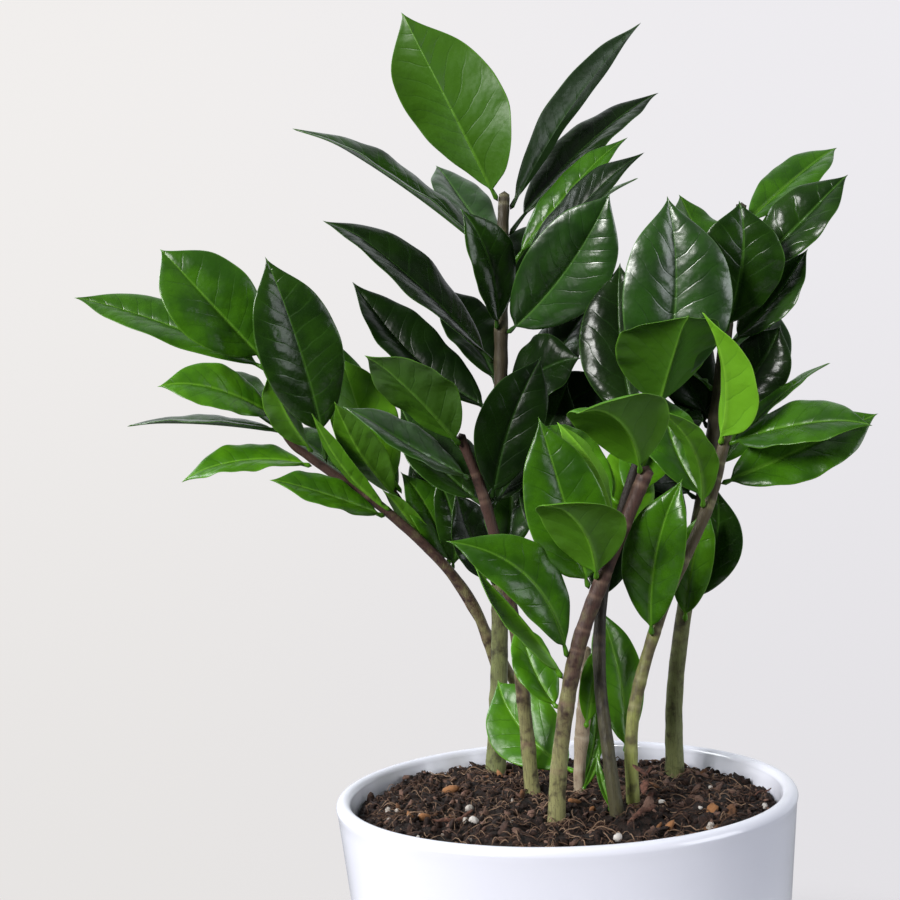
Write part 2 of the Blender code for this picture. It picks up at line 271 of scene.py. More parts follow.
@dataclass(frozen=True)
class StemLine:
    """A stem's centre line from the soil up, and its radius along it."""

    centres: np.ndarray
    radii: np.ndarray

    @classmethod
    def of_node(cls, name: str) -> "StemLine":
        """The line through the middles of a stem node's rings.

        Args:
            name: the stem's node.

        Returns:
            The line from the soil up.
        """
        rings = node_rings(name)
        if rings[0][0, 2] > rings[-1][0, 2]:
            rings = rings[::-1]
        centres = np.array([ring.mean(axis=0) for ring in rings])
        radii = np.array(
            [np.linalg.norm(r - r.mean(axis=0), axis=1).mean() for r in rings[1:-1]]
        )
        return cls(centres, np.concatenate([radii[:1], radii, radii[-1:]]))

    def at(self, height: float) -> np.ndarray:
        """The centre at a height."""
        return np.array([np.interp(height, self.centres[:, 2], self.centres[:, k]) for k in range(3)])

    def radius(self, height: float) -> float:
        """The radius at a height."""
        return float(np.interp(height, self.centres[:, 2], self.radii))

    def along(self, height: float) -> np.ndarray:
        """The way the stem grows at a height."""
        return unit(self.at(height + 0.004) - self.at(height - 0.004))


# ------------------------------------------------------------------ shader wiring


# Stretches Object coordinates, which are metres, into millimetres.
PER_MM = (1000.0, 1000.0, 1000.0)
# A Mix node keeps its colour sockets behind those of its other kinds.
COLOUR_MIX_INPUTS = (0, 6, 7)
COLOUR_MIX_OUTPUT = 2


class Wiring:
    """Short names for placing and joining shader nodes in one tree."""

    def __init__(self, tree: bpy.types.NodeTree) -> None:
        """Works on TREE."""
        self.tree = tree

    def node(self, kind: str, **settings: object) -> bpy.types.Node:
        """A new node of a kind, with its own settings applied.

        Args:
            kind: the node's type name.
            settings: its attributes by name.

        Returns:
            The node.
        """
        made = self.tree.nodes.new(kind)
        for key, value in settings.items():
            setattr(made, key, value)
        return made

    def put(self, socket: Socket, value: Value) -> None:
        """Joins VALUE to a socket if it is another node's output, or sets it.

        Args:
            socket: the input.
            value: an output, a number or a tuple; three numbers make a colour.
        """
        if isinstance(value, Socket):
            self.tree.links.new(value, socket)
        elif isinstance(value, tuple) and len(value) == 3 and socket.type == "RGBA":
            socket.default_value = (*value, 1.0)
        else:
            socket.default_value = value

    def math(self, work: str, *given: Value) -> Socket:
        """One Math node's output.

        Args:
            work: the operation's name.
            given: its inputs in order.

        Returns:
            The result's socket.
        """
        made = self.node("ShaderNodeMath", operation=work)
        for socket, value in zip(made.inputs, given):
            self.put(socket, value)
        return made.outputs[0]

    def plus(self, a: Value, b: Value) -> Socket:
        """A and B added."""
        return self.math("ADD", a, b)

    def minus(self, a: Value, b: Value) -> Socket:
        """B taken from A."""
        return self.math("SUBTRACT", a, b)

    def times(self, a: Value, b: Value) -> Socket:
        """A and B multiplied."""
        return self.math("MULTIPLY", a, b)

    def over(self, a: Value, b: Value) -> Socket:
        """A divided by B."""
        return self.math("DIVIDE", a, b)

    def ease(self, value: Value, low: Value, high: Value, start: float = 0.0, end: float = 1.0) -> Socket:
        """VALUE eased from START at LOW to END at HIGH.

        Args:
            value: what is eased.
            low: where it starts to rise.
            high: where it stops.
            start: the result below LOW.
            end: the result above HIGH.

        Returns:
            The result's socket.
        """
        made = self.node("ShaderNodeMapRange", interpolation_type="SMOOTHSTEP")
        for key, given in zip(("Value", "From Min", "From Max", "To Min", "To Max"),
                              (value, low, high, start, end)):
            self.put(made.inputs[key], given)
        return made.outputs["Result"]

    def mix(self, share: Value, a: Value, b: Value) -> Socket:
        """Two colours mixed: A at a share of 0, B at 1.

        Args:
            share: how much of B.
            a: the first colour.
            b: the second colour.

        Returns:
            The colour's socket.
        """
        made = self.node("ShaderNodeMix", data_type="RGBA", blend_type="MIX")
        for number, given in zip(COLOUR_MIX_INPUTS, (share, a, b)):
            self.put(made.inputs[number], given)
        return made.outputs[COLOUR_MIX_OUTPUT]

    def noise(self, place: Value, scale: Value, detail: float = 2.0, rough: float = 0.5) -> Socket:
        """A noise value, about 0.5.

        Args:
            place: where it is read.
            scale: waves a unit of length.
            detail: how many finer layers.
            rough: how strong the finer layers are.

        Returns:
            The value's socket.
        """
        made = self.node("ShaderNodeTexNoise")
        for key, given in zip(("Vector", "Scale", "Detail", "Roughness"), (place, scale, detail, rough)):
            self.put(made.inputs[key], given)
        return made.outputs["Fac"]

    def carried(self, name: str, part: str = "Fac") -> Socket:
        """A number or vector that the mesh carries."""
        return self.node("ShaderNodeAttribute", attribute_name=name).outputs[part]

    def place(self, stretch: tuple = (1.0, 1.0, 1.0), shift: Value | None = None) -> Socket:
        """Object coordinates, stretched and shifted.

        Args:
            stretch: factors along X, Y and Z.
            shift: what is added to each, if anything.

        Returns:
            The vector's socket.
        """
        made = self.node("ShaderNodeVectorMath", operation="MULTIPLY")
        self.put(made.inputs[0], self.node("ShaderNodeTexCoord").outputs["Object"])
        made.inputs[1].default_value = stretch
        if shift is None:
            return made.outputs[0]
        moved = self.node("ShaderNodeVectorMath", operation="ADD")
        self.put(moved.inputs[0], made.outputs[0])
        self.put(moved.inputs[1], shift)
        return moved.outputs[0]

    def group(self, made_of: bpy.types.NodeTree, **values: Value) -> bpy.types.bpy_prop_collection:
        """A group node's outputs, its inputs set; a space in an input's name is written as _.

        Args:
            made_of: the group's tree.
            values: its inputs by name.

        Returns:
            The node's output sockets.
        """
        made = self.node("ShaderNodeGroup", node_tree=made_of)
        for key, value in values.items():
            self.put(made.inputs[key.replace("_", " ")], value)
        return made.outputs


def new_group(name: str, inputs: dict, outputs: dict) -> tuple:
    """A shader node group with its sockets.

    Args:
        name: the group's name.
        inputs: socket name to its first value; a tuple makes a colour.
        outputs: socket name to its kind, "Float" or "Color".

    Returns:
        The tree, its wiring, the input sockets by name and the output node.
    """
    tree = bpy.data.node_groups.new(name, "ShaderNodeTree")
    for key, value in inputs.items():
        kind = "NodeSocketColor" if isinstance(value, tuple) else "NodeSocketFloat"
        socket = tree.interface.new_socket(name=key, in_out="INPUT", socket_type=kind)
        socket.default_value = (*value, 1.0) if isinstance(value, tuple) else value
    for key, kind in outputs.items():
        tree.interface.new_socket(name=key, in_out="OUTPUT", socket_type=f"NodeSocket{kind}")
    wires = Wiring(tree)
    return tree, wires, wires.node("NodeGroupInput").outputs, wires.node("NodeGroupOutput")


# A leaflet's pattern, in millimetres: the midrib's half-breadth at foot and tip and the length
# that it thins over, the side veins' spacing along the midrib, their slant (millimetres along for
# each one across), how far they wander, and how long the stalk's own tone lasts.
RIB_FOOT, RIB_TIP, RIB_LENGTH = 1.25, 0.35, 75.0
VEIN_SPACING, VEIN_SLANT = 9.2, 0.95
VEIN_DRIFT, VEIN_JITTER = 24.0, 5.0
STALK_LENGTH = 5.0


def blade_group() -> bpy.types.NodeTree:
    """The pattern of a ZZ leaflet.

    The mesh carries "blade": millimetres along the midrib, millimetres across from it and the
    half-breadth there; "underside": 0 on the glossy side and 1 below; "chance": the leaflet's own
    number.  The pattern is a pale midrib that thins towards the tip, side veins that leave it at
    a slant every few millimetres with a low cushion between them, cloudy tone, a thin pale
    margin, the plain flesh on the stalk and a fine grain in the height.

    Returns:
        The group, with a colour, a roughness and a height.
    """
    tree, w, given, out = new_group(
        "leaf_blade_pattern",
        {
            "Flesh": (0.02, 0.1, 0.01), "Shade": (0.01, 0.05, 0.01), "Rib": (0.1, 0.3, 0.05),
            "Vein": (0.01, 0.05, 0.01), "Below": (0.05, 0.15, 0.03), "Margin": (0.1, 0.3, 0.05),
            "Vein Share": 0.4, "Gloss": 0.28,
        },
        {"Color": "Color", "Roughness": "Float", "Height": "Float"},
    )
    blade = w.node("ShaderNodeSeparateXYZ")
    w.put(blade.inputs[0], w.carried("blade", "Vector"))
    along, across, half = blade.outputs
    below = w.carried("underside")
    chance = w.carried("chance")
    spot = w.place(PER_MM, w.times(chance, 61.0))
    cloud = w.noise(spot, 0.07, 3.0, 0.55)
    fleck = w.noise(spot, 0.9, 3.0, 0.6)
    away = w.math("ABSOLUTE", across)
    share = w.over(away, w.math("MAXIMUM", half, 0.2))
    rib_wide = w.ease(along, 0.0, RIB_LENGTH, RIB_FOOT, RIB_TIP)
    rib = w.ease(away, w.times(rib_wide, 0.35), rib_wide, 1.0, 0.0)
    rim = w.ease(share, 0.955, 0.99)
    slant = w.minus(along, w.times(away, VEIN_SLANT))
    drift = w.noise(spot, 0.03, 1.0, 0.5)
    wander = w.plus(w.times(w.minus(drift, 0.5), VEIN_DRIFT), w.times(w.minus(cloud, 0.5), VEIN_JITTER))
    bent = w.plus(slant, wander)
    phase = w.math("ABSOLUTE", w.minus(w.math("FRACT", w.over(bent, VEIN_SPACING)), 0.5))
    vein = w.times(w.ease(phase, 0.0, 0.07, 1.0, 0.0), w.ease(share, 0.55, 0.98, 1.0, 0.15))
    pillow = w.times(w.ease(phase, 0.0, 0.5, 0.0, 0.5), w.ease(share, 0.5, 1.0, 1.0, 0.2))
    tone = w.mix(w.ease(cloud, 0.35, 0.68), given["Flesh"], given["Shade"])
    tone = w.mix(w.times(w.ease(fleck, 0.5, 0.8), 0.25), tone, given["Shade"])
    tone = w.mix(w.times(vein, given["Vein Share"]), tone, given["Vein"])
    tone = w.mix(w.times(rib, 0.62), tone, given["Rib"])
    under = w.mix(w.times(vein, 0.35), given["Below"], given["Vein"])
    under = w.mix(w.times(w.ease(cloud, 0.4, 0.7), 0.35), under, given["Flesh"])
    under = w.mix(w.times(rib, 0.75), under, given["Rib"])
    tone = w.mix(w.ease(below, 0.45, 0.55), tone, under)
    tone = w.mix(w.times(rim, 0.55), tone, given["Margin"])
    stalk = w.ease(along, 0.0, STALK_LENGTH, 0.75, 0.0)
    tone = w.mix(stalk, tone, given["Flesh"])
    rough = w.plus(given["Gloss"], w.times(w.ease(cloud, 0.3, 0.7), 0.07))
    rough = w.plus(rough, w.times(below, 0.16))
    rough = w.plus(rough, w.times(w.ease(fleck, 0.45, 0.75), 0.06))
    grain = w.noise(spot, 1.7, 2.0, 0.6)
    height = w.times(pillow, 0.27)
    height = w.minus(height, w.times(vein, 0.06))
    height = w.plus(height, w.times(cloud, 1.1))
    height = w.plus(height, w.times(fleck, 0.036))
    height = w.plus(height, w.times(grain, 0.010))
    w.put(out.inputs["Color"], tone)
    w.put(out.inputs["Roughness"], rough)
    w.put(out.inputs["Height"], height)
    return tree


def bark_group() -> bpy.types.NodeTree:
    """The pattern of a stem's skin.

    The mesh carries "rise": 0 at the soil and 1 at the stem's end; and "scar": 1 on the rings
    that old leaf feet leave.  Streaks run up the stem, blotches cross it, and the tone goes from
    the foot's to the top's.

    Returns:
        The group, with a colour, a roughness and a height.
    """
    tree, w, given, out = new_group(
        "stem_skin_pattern",
        {"Foot": (0.2, 0.2, 0.1), "Top": (0.1, 0.05, 0.04), "Streak": (0.05, 0.03, 0.02),
         "Scar": (0.3, 0.25, 0.15)},
        {"Color": "Color", "Roughness": "Float", "Height": "Float"},
    )
    rise = w.carried("rise")
    scar = w.carried("scar")
    streak = w.noise(w.place((1000.0, 1000.0, 90.0)), 1.9, 3.0, 0.6)
    blotch = w.noise(w.place(PER_MM), 0.16, 3.0, 0.6)
    speck = w.noise(w.place((1000.0, 1000.0, 600.0)), 1.6, 2.0, 0.6)
    climb = w.plus(rise, w.times(w.minus(blotch, 0.5), 1.1))
    tone = w.mix(w.ease(climb, 0.02, 0.62), given["Foot"], given["Top"])
    tone = w.mix(w.times(w.ease(streak, 0.45, 0.68), 0.38), tone, given["Streak"])
    tone = w.mix(w.times(w.ease(blotch, 0.52, 0.66), 0.62), tone, given["Streak"])
    tone = w.mix(w.times(w.ease(speck, 0.60, 0.72), 0.50), tone, given["Streak"])
    tone = w.mix(w.times(scar, 0.50), tone, given["Scar"])
    height = w.plus(w.times(streak, 0.22), w.times(speck, 0.12))
    w.put(out.inputs["Color"], tone)
    w.put(out.inputs["Roughness"], w.ease(streak, 0.3, 0.7, 0.42, 0.62))
    w.put(out.inputs["Height"], height)
    return tree


def crumb_group() -> bpy.types.NodeTree:
    """Mottled crumbly matter: two colours by noise, a lighter tone by the mesh's "tint".

    Returns:
        The group, with a colour, a roughness and a height.
    """
    tree, w, given, out = new_group(
        "crumbly_pattern",
        {"Dark": (0.02, 0.01, 0.01), "Light": (0.06, 0.03, 0.02), "Bright": (0.1, 0.06, 0.03),
         "Scale": 0.5},
        {"Color": "Color", "Roughness": "Float", "Height": "Float"},
    )
    tint = w.carried("tint")
    spot = w.place(PER_MM, w.times(tint, 37.0))
    coarse = w.noise(spot, given["Scale"], 6.0, 0.68)
    fine = w.noise(spot, 2.6, 4.0, 0.65)
    tone = w.mix(w.ease(coarse, 0.38, 0.64), given["Dark"], given["Light"])
    tone = w.mix(w.ease(tint, 0.45, 1.0, 0.0, 0.8), tone, given["Bright"])
    tone = w.mix(w.times(w.ease(fine, 0.56, 0.72), 0.35), tone, given["Bright"])
    height = w.plus(coarse, w.times(fine, 0.4))
    w.put(out.inputs["Color"], tone)
    w.put(out.inputs["Roughness"], w.ease(fine, 0.35, 0.7, 0.78, 1.0))
    w.put(out.inputs["Height"], height)
    return tree


# ------------------------------------------------------------------ finishes


def surface(name: str) -> tuple:
    """A new material, its wiring and its Principled shader.

    Args:
        name: the material's name.

    Returns:
        The material, its wiring and its shader.
    """
    material = bpy.data.materials.new(name)
    material.use_nodes = True
    return material, Wiring(material.node_tree), material.node_tree.nodes["Principled BSDF"]


def wear(wires: Wiring, shader: bpy.types.Node, outputs: bpy.types.bpy_prop_collection,
         depth: float) -> None:
    """Joins a pattern's colour, roughness and height to the shader.

    Args:
        wires: the material's wiring.
        shader: its Principled shader.
        outputs: the pattern group's outputs.
        depth: metres that one unit of height stands for.
    """
    bump = wires.node("ShaderNodeBump")
    bump.inputs["Strength"].default_value = 1.0
    bump.inputs["Distance"].default_value = depth
    wires.put(bump.inputs["Height"], outputs["Height"])
    wires.put(shader.inputs["Normal"], bump.outputs["Normal"])
    wires.put(shader.inputs["Base Color"], outputs["Color"])
    wires.put(shader.inputs["Roughness"], outputs["Roughness"])


@dataclass(frozen=True)
class LeafFinish:
    """A leaflet's colours and gloss."""

    name: str
    slot: str
    flesh: tuple
    shade: tuple
    rib: tuple
    vein: tuple
    below: tuple
    margin: tuple
    vein_share: float
    gloss: float
    shine: float = 0.34

    def make(self, pattern: bpy.types.NodeTree) -> bpy.types.Material:
        """Dresses a shader in the leaflets' pattern and sets its shine.

        Args:
            pattern: the leaflets' pattern group.

        Returns:
            The material.
        """
        material, wires, shader = surface(self.name)
        outputs = wires.group(
            pattern, Flesh=self.flesh, Shade=self.shade, Rib=self.rib, Vein=self.vein,
            Below=self.below, Margin=self.margin, Vein_Share=self.vein_share, Gloss=self.gloss,
        )
        wear(wires, shader, outputs, 0.001)
        shader.inputs["Specular IOR Level"].default_value = self.shine
        return material


class Tone(Enum):
    """The greens of the leaflets, from the oldest to the youngest.  A leaflet's tone also stands for the
    light on it: the darker tones carry painted shade, and a lighter tone on a leaflet in shadow is painted
    light.
    """

    # The first tone is the darkest copy of the leaf green: painted shade for leaflets that stand in shadow.
    INK = LeafFinish(
        "leaf_shaded_waxy", "leaf_dark",
        (0.0070, 0.0210, 0.0030), (0.0035, 0.0110, 0.0020), (0.022, 0.060, 0.010),
        (0.011, 0.034, 0.005), (0.013, 0.040, 0.005), (0.032, 0.085, 0.012), 0.30, 0.26,
        shine=0.15,
    )
    SHEEN = LeafFinish(
        "leaf_deep_polished", "leaf_dark",
        (0.0230, 0.0780, 0.0090), (0.0120, 0.0430, 0.0060), (0.075, 0.190, 0.030),
        (0.010, 0.036, 0.0055), (0.034, 0.100, 0.012), (0.080, 0.200, 0.035), 0.45, 0.27,
        shine=0.85,
    )
    DARK = LeafFinish(
        "leaf_dark_waxy", "leaf_dark",
        (0.0105, 0.0290, 0.0045), (0.0055, 0.0150, 0.0030), (0.045, 0.115, 0.020),
        (0.020, 0.060, 0.010), (0.021, 0.064, 0.009), (0.055, 0.140, 0.022), 0.30, 0.21,
    )
    DEEP = LeafFinish(
        "leaf_deep_waxy", "leaf_dark",
        (0.0180, 0.0560, 0.0050), (0.0090, 0.0300, 0.0035), (0.065, 0.170, 0.022),
        (0.036, 0.105, 0.012), (0.029, 0.088, 0.009), (0.075, 0.195, 0.025), 0.30, 0.20,
    )
    MID = LeafFinish(
        "leaf_mid_waxy", "leaf_mid",
        (0.0430, 0.1420, 0.0048), (0.0200, 0.0760, 0.0034), (0.110, 0.270, 0.022),
        (0.022, 0.078, 0.0036), (0.046, 0.136, 0.006), (0.115, 0.280, 0.026), 0.50, 0.24,
    )
    FRESH = LeafFinish(
        "leaf_fresh_waxy", "leaf_mid",
        (0.0720, 0.2250, 0.0055), (0.0370, 0.1380, 0.0038), (0.150, 0.360, 0.024),
        (0.033, 0.115, 0.0040), (0.066, 0.192, 0.006), (0.145, 0.340, 0.030), 0.50, 0.28,
    )
    YOUNG = LeafFinish(
        "leaf_young_soft", "leaf_young",
        (0.1400, 0.3750, 0.0100), (0.0850, 0.2700, 0.0070), (0.210, 0.480, 0.030),
        (0.080, 0.255, 0.0070), (0.150, 0.390, 0.012), (0.230, 0.490, 0.040), 0.30, 0.38,
    )


@dataclass(frozen=True)
class StemFinish:
    """A stem's colours, from foot to top."""

    name: str
    slot: str
    foot: tuple
    top: tuple
    streak: tuple
    scar: tuple

    def make(self, pattern: bpy.types.NodeTree) -> bpy.types.Material:
        """Dresses a shader in the stems' pattern.

        Args:
            pattern: the stems' pattern group.

        Returns:
            The material.
        """
        material, wires, shader = surface(self.name)
        wear(
            wires, shader,
            wires.group(pattern, Foot=self.foot, Top=self.top, Streak=self.streak, Scar=self.scar),
            0.0009,
        )
        shader.inputs["Specular IOR Level"].default_value = 0.28
        return material


class StemTone(Enum):
    """The looks that the stems have."""

    PURPLE = StemFinish("stem_purple_brown", "stem_brown", (0.250, 0.245, 0.105),
                        (0.072, 0.038, 0.031), (0.020, 0.012, 0.010), (0.220, 0.140, 0.100))
    UMBER = StemFinish("stem_dark_umber", "stem_brown", (0.060, 0.055, 0.026),
                       (0.024, 0.017, 0.014), (0.012, 0.009, 0.007), (0.100, 0.070, 0.050))
    OLIVE = StemFinish("stem_olive_streaked", "stem_green", (0.165, 0.185, 0.070),
                       (0.048, 0.037, 0.021), (0.032, 0.029, 0.015), (0.240, 0.220, 0.130))
    PALE = StemFinish("stem_pale_buff", "stem_brown", (0.360, 0.290, 0.210),
                      (0.300, 0.240, 0.170), (0.150, 0.100, 0.070), (0.450, 0.390, 0.300))
    LIME = StemFinish("stem_yellow_green", "stem_green", (0.260, 0.290, 0.080),
                      (0.110, 0.085, 0.050), (0.085, 0.075, 0.035), (0.340, 0.330, 0.160))


@dataclass(frozen=True)
class CrumbFinish:
    """The colours of something crumbly or fibrous."""

    name: str
    dark: tuple
    light: tuple
    bright: tuple
    scale: float
    depth: float = 0.0006

    def make(self, pattern: bpy.types.NodeTree) -> bpy.types.Material:
        """Dresses a shader in the crumbly pattern.

        Args:
            pattern: the crumbly pattern group.

        Returns:
            The material.
        """
        material, wires, shader = surface(self.name)
        wear(
            wires, shader,
            wires.group(pattern, Dark=self.dark, Light=self.light, Bright=self.bright, Scale=self.scale),
            self.depth,
        )
        shader.inputs["Specular IOR Level"].default_value = 0.35
        return material


class Litter(Enum):
    """What lies in the pot."""

    PEAT = CrumbFinish("peat_bed", (0.0040, 0.0022, 0.0017), (0.022, 0.0105, 0.0072),
                       (0.055, 0.028, 0.018), 0.32, 0.0011)
    CRUMB = CrumbFinish("peat_crumbs", (0.0045, 0.0025, 0.0020), (0.036, 0.0170, 0.0125),
                        (0.230, 0.132, 0.100), 0.62, 0.0007)
    FIBRE = CrumbFinish("coir_fibres", (0.030, 0.014, 0.009), (0.120, 0.064, 0.040),
                        (0.330, 0.215, 0.140), 0.6, 0.0003)
    BARK = CrumbFinish("bark_chips", (0.060, 0.028, 0.015), (0.165, 0.076, 0.036),
                       (0.330, 0.150, 0.060), 0.42, 0.0006)
    PERLITE = CrumbFinish("perlite_grains", (0.26, 0.22, 0.19), (0.55, 0.51, 0.47),
                          (0.72, 0.69, 0.66), 0.8, 0.0007)
    HUSK = CrumbFinish("dried_husk", (0.045, 0.018, 0.012), (0.150, 0.064, 0.044),
                       (0.300, 0.170, 0.120), 0.7, 0.0006)


@dataclass(frozen=True)
class GlazeFinish:
    """White glaze with a blue cast: barely clouded, faintly uneven, glossy."""

    name: str = "pot_white_glaze"
    colour: tuple = (0.800, 0.808, 0.905)
    thin: tuple = (0.700, 0.718, 0.830)

    def make(self) -> bpy.types.Material:
        """Dresses a shader in clouded glaze with a low unevenness and a thin coat.

        Returns:
            The material.
        """
        material, w, shader = surface(self.name)
        cloud = w.noise(w.place(), 14.0, 3.0, 0.5)
        pit = w.noise(w.place(), 420.0, 2.0, 0.5)
        thinned = w.ease(cloud, 0.35, 0.75, 0.0, 0.35)
        w.put(shader.inputs["Base Color"], w.mix(thinned, self.colour, self.thin))
        w.put(shader.inputs["Roughness"], w.ease(cloud, 0.3, 0.7, 0.13, 0.20))
        bump = w.node("ShaderNodeBump")
        bump.inputs["Strength"].default_value = 0.25
        bump.inputs["Distance"].default_value = 0.0006
        w.put(bump.inputs["Height"], w.plus(cloud, w.times(pit, 0.05)))
        w.put(shader.inputs["Normal"], bump.outputs["Normal"])
        shader.inputs["Coat Weight"].default_value = 0.35
        shader.inputs["Coat Roughness"].default_value = 0.08
        return material


# ------------------------------------------------------------------ leaflets


@dataclass(frozen=True)
class Blade:
    """What fixes a leaflet: everything in metres and radians.

    foot, reach, bow: the stalk's start, the way to the tip, and how far the midrib's middle
    stands off that straight line.  upper: the way the glossy side looks.  breadth: across the
    widest place.  fold: how far each half is raised.  stalk: the bare stalk's share.
    """

    foot: np.ndarray
    reach: np.ndarray
    bow: np.ndarray
    upper: np.ndarray
    breadth: float
    fold: float
    stalk: float

    STATIONS = (0.08, 0.22, 0.38, 0.54, 0.70, 0.84, 0.94)

    @staticmethod
    def frame_breadth(share: np.ndarray) -> np.ndarray:
        """The frame's outline: the sine of the share, drawn fuller by a power."""
        return np.sin(math.pi * np.asarray(share) ** 0.95) ** 0.68

    @classmethod
    def of_node(cls, name: str) -> "Blade":
        """Reads a leaflet of the frame.

        A blade ring has six corners: the two margins, which are the pair farthest apart, three
        between them on the glossy side and one below the midrib.  The midrib runs two thirds of
        the way from that lowest corner to the glossy side's middle one.

        Args:
            name: the node.

        Returns:
            The numbers that the node was built from, to a small error.
        """
        rings = node_rings(name)
        foot, tip = rings[0][0], rings[-1][0]
        reach = tip - foot
        middles, halves, lifts, sides = [], [], [], []
        for ring in rings[3:-1]:
            gaps = np.linalg.norm(ring[:, None] - ring[None], axis=-1)
            a, b = np.unravel_index(int(np.argmax(gaps)), gaps.shape)
            rest = np.array([k for k in range(len(ring)) if k not in (a, b)])
            chord = unit(ring[b] - ring[a])
            share = (ring[rest] - ring[a]) @ chord / gaps[a, b]
            centre_two = rest[np.argsort(np.abs(share - 0.5))[:2]]
            others = rest[np.argsort(np.abs(share - 0.5))[2:]]
            towards = ring[others].mean(axis=0) - ring[centre_two].mean(axis=0)
            first, second = ring[centre_two]
            top, keel = (first, second) if (first - second) @ towards > 0 else (second, first)
            middles.append((2 * top + keel) / 3)
            halves.append(np.linalg.norm(ring[[a, b]] - middles[-1], axis=1).mean())
            lifts.append(unit(top - keel))
            sides.append(((ring[a] + ring[b]) / 2 - middles[-1]) @ lifts[-1] / halves[-1])
        stalk = float((rings[2].mean(axis=0) - foot) @ reach / (reach @ reach))
        shares = stalk + (1 - stalk) * np.array(cls.STATIONS)
        shape = 4 * shares * (1 - shares)
        bow = (np.array(middles) - foot - reach * shares[:, None]).T @ shape / (shape @ shape)
        breadth = 2 * float(np.mean(np.array(halves)[1:-1] / cls.frame_breadth(cls.STATIONS)[1:-1]))
        fold = math.asin(float(np.clip(np.mean(sides[1:-1]), 0.0, 0.9)))
        return cls(foot, reach, bow, np.mean(lifts, axis=0), breadth, fold, stalk)

    @classmethod
    def on_stem(cls, line: StemLine, sprig: "Sprig") -> "Blade":
        """A leaflet of the plant's own table, with its foot on a stem's skin.

        Args:
            line: the stem's line.
            sprig: the table's row.

        Returns:
            The leaflet's numbers in metres and radians.
        """
        height = sprig.height * MM
        reach = np.array(sprig.reach, float) * MM
        along = line.along(height)
        outward = unit(unit(reach) - along * (unit(reach) @ along))
        foot = line.at(height) + outward * line.radius(height)
        return cls(foot, reach, np.array(sprig.bow, float) * MM, np.array(sprig.face, float),
                   sprig.breadth * MM, math.radians(sprig.fold), 0.06)


@dataclass(frozen=True)
class Sprig:
    """A leaflet that the frame leaves to the looks, in millimetres and degrees."""

    name: str
    stem: str
    height: float
    reach: tuple
    breadth: float
    face: tuple
    fold: float
    bow: tuple
    tone: Tone


@dataclass(frozen=True)
class Touch:
    """How one leaflet departs from the plain form.

    lean: how much broader its right half is than its left, -1 to 1.
    wave: the margin's rise and fall, as a share of the half-breadth.
    arch: how far each half swells, as a share of the half-breadth.
    curl: how far the tip turns back, in millimetres.
    twist: degrees that the blade turns along its length.
    full: 0 leaves the outline slender and 1 makes it blunt.
    seat: the power that sets the widest place; a low one moves it towards the foot.
    """

    lean: float = 0.0
    wave: float = 0.05
    arch: float = 0.08
    curl: float = 1.5
    twist: float = 0.0
    full: float = 0.5
    seat: float = 0.95


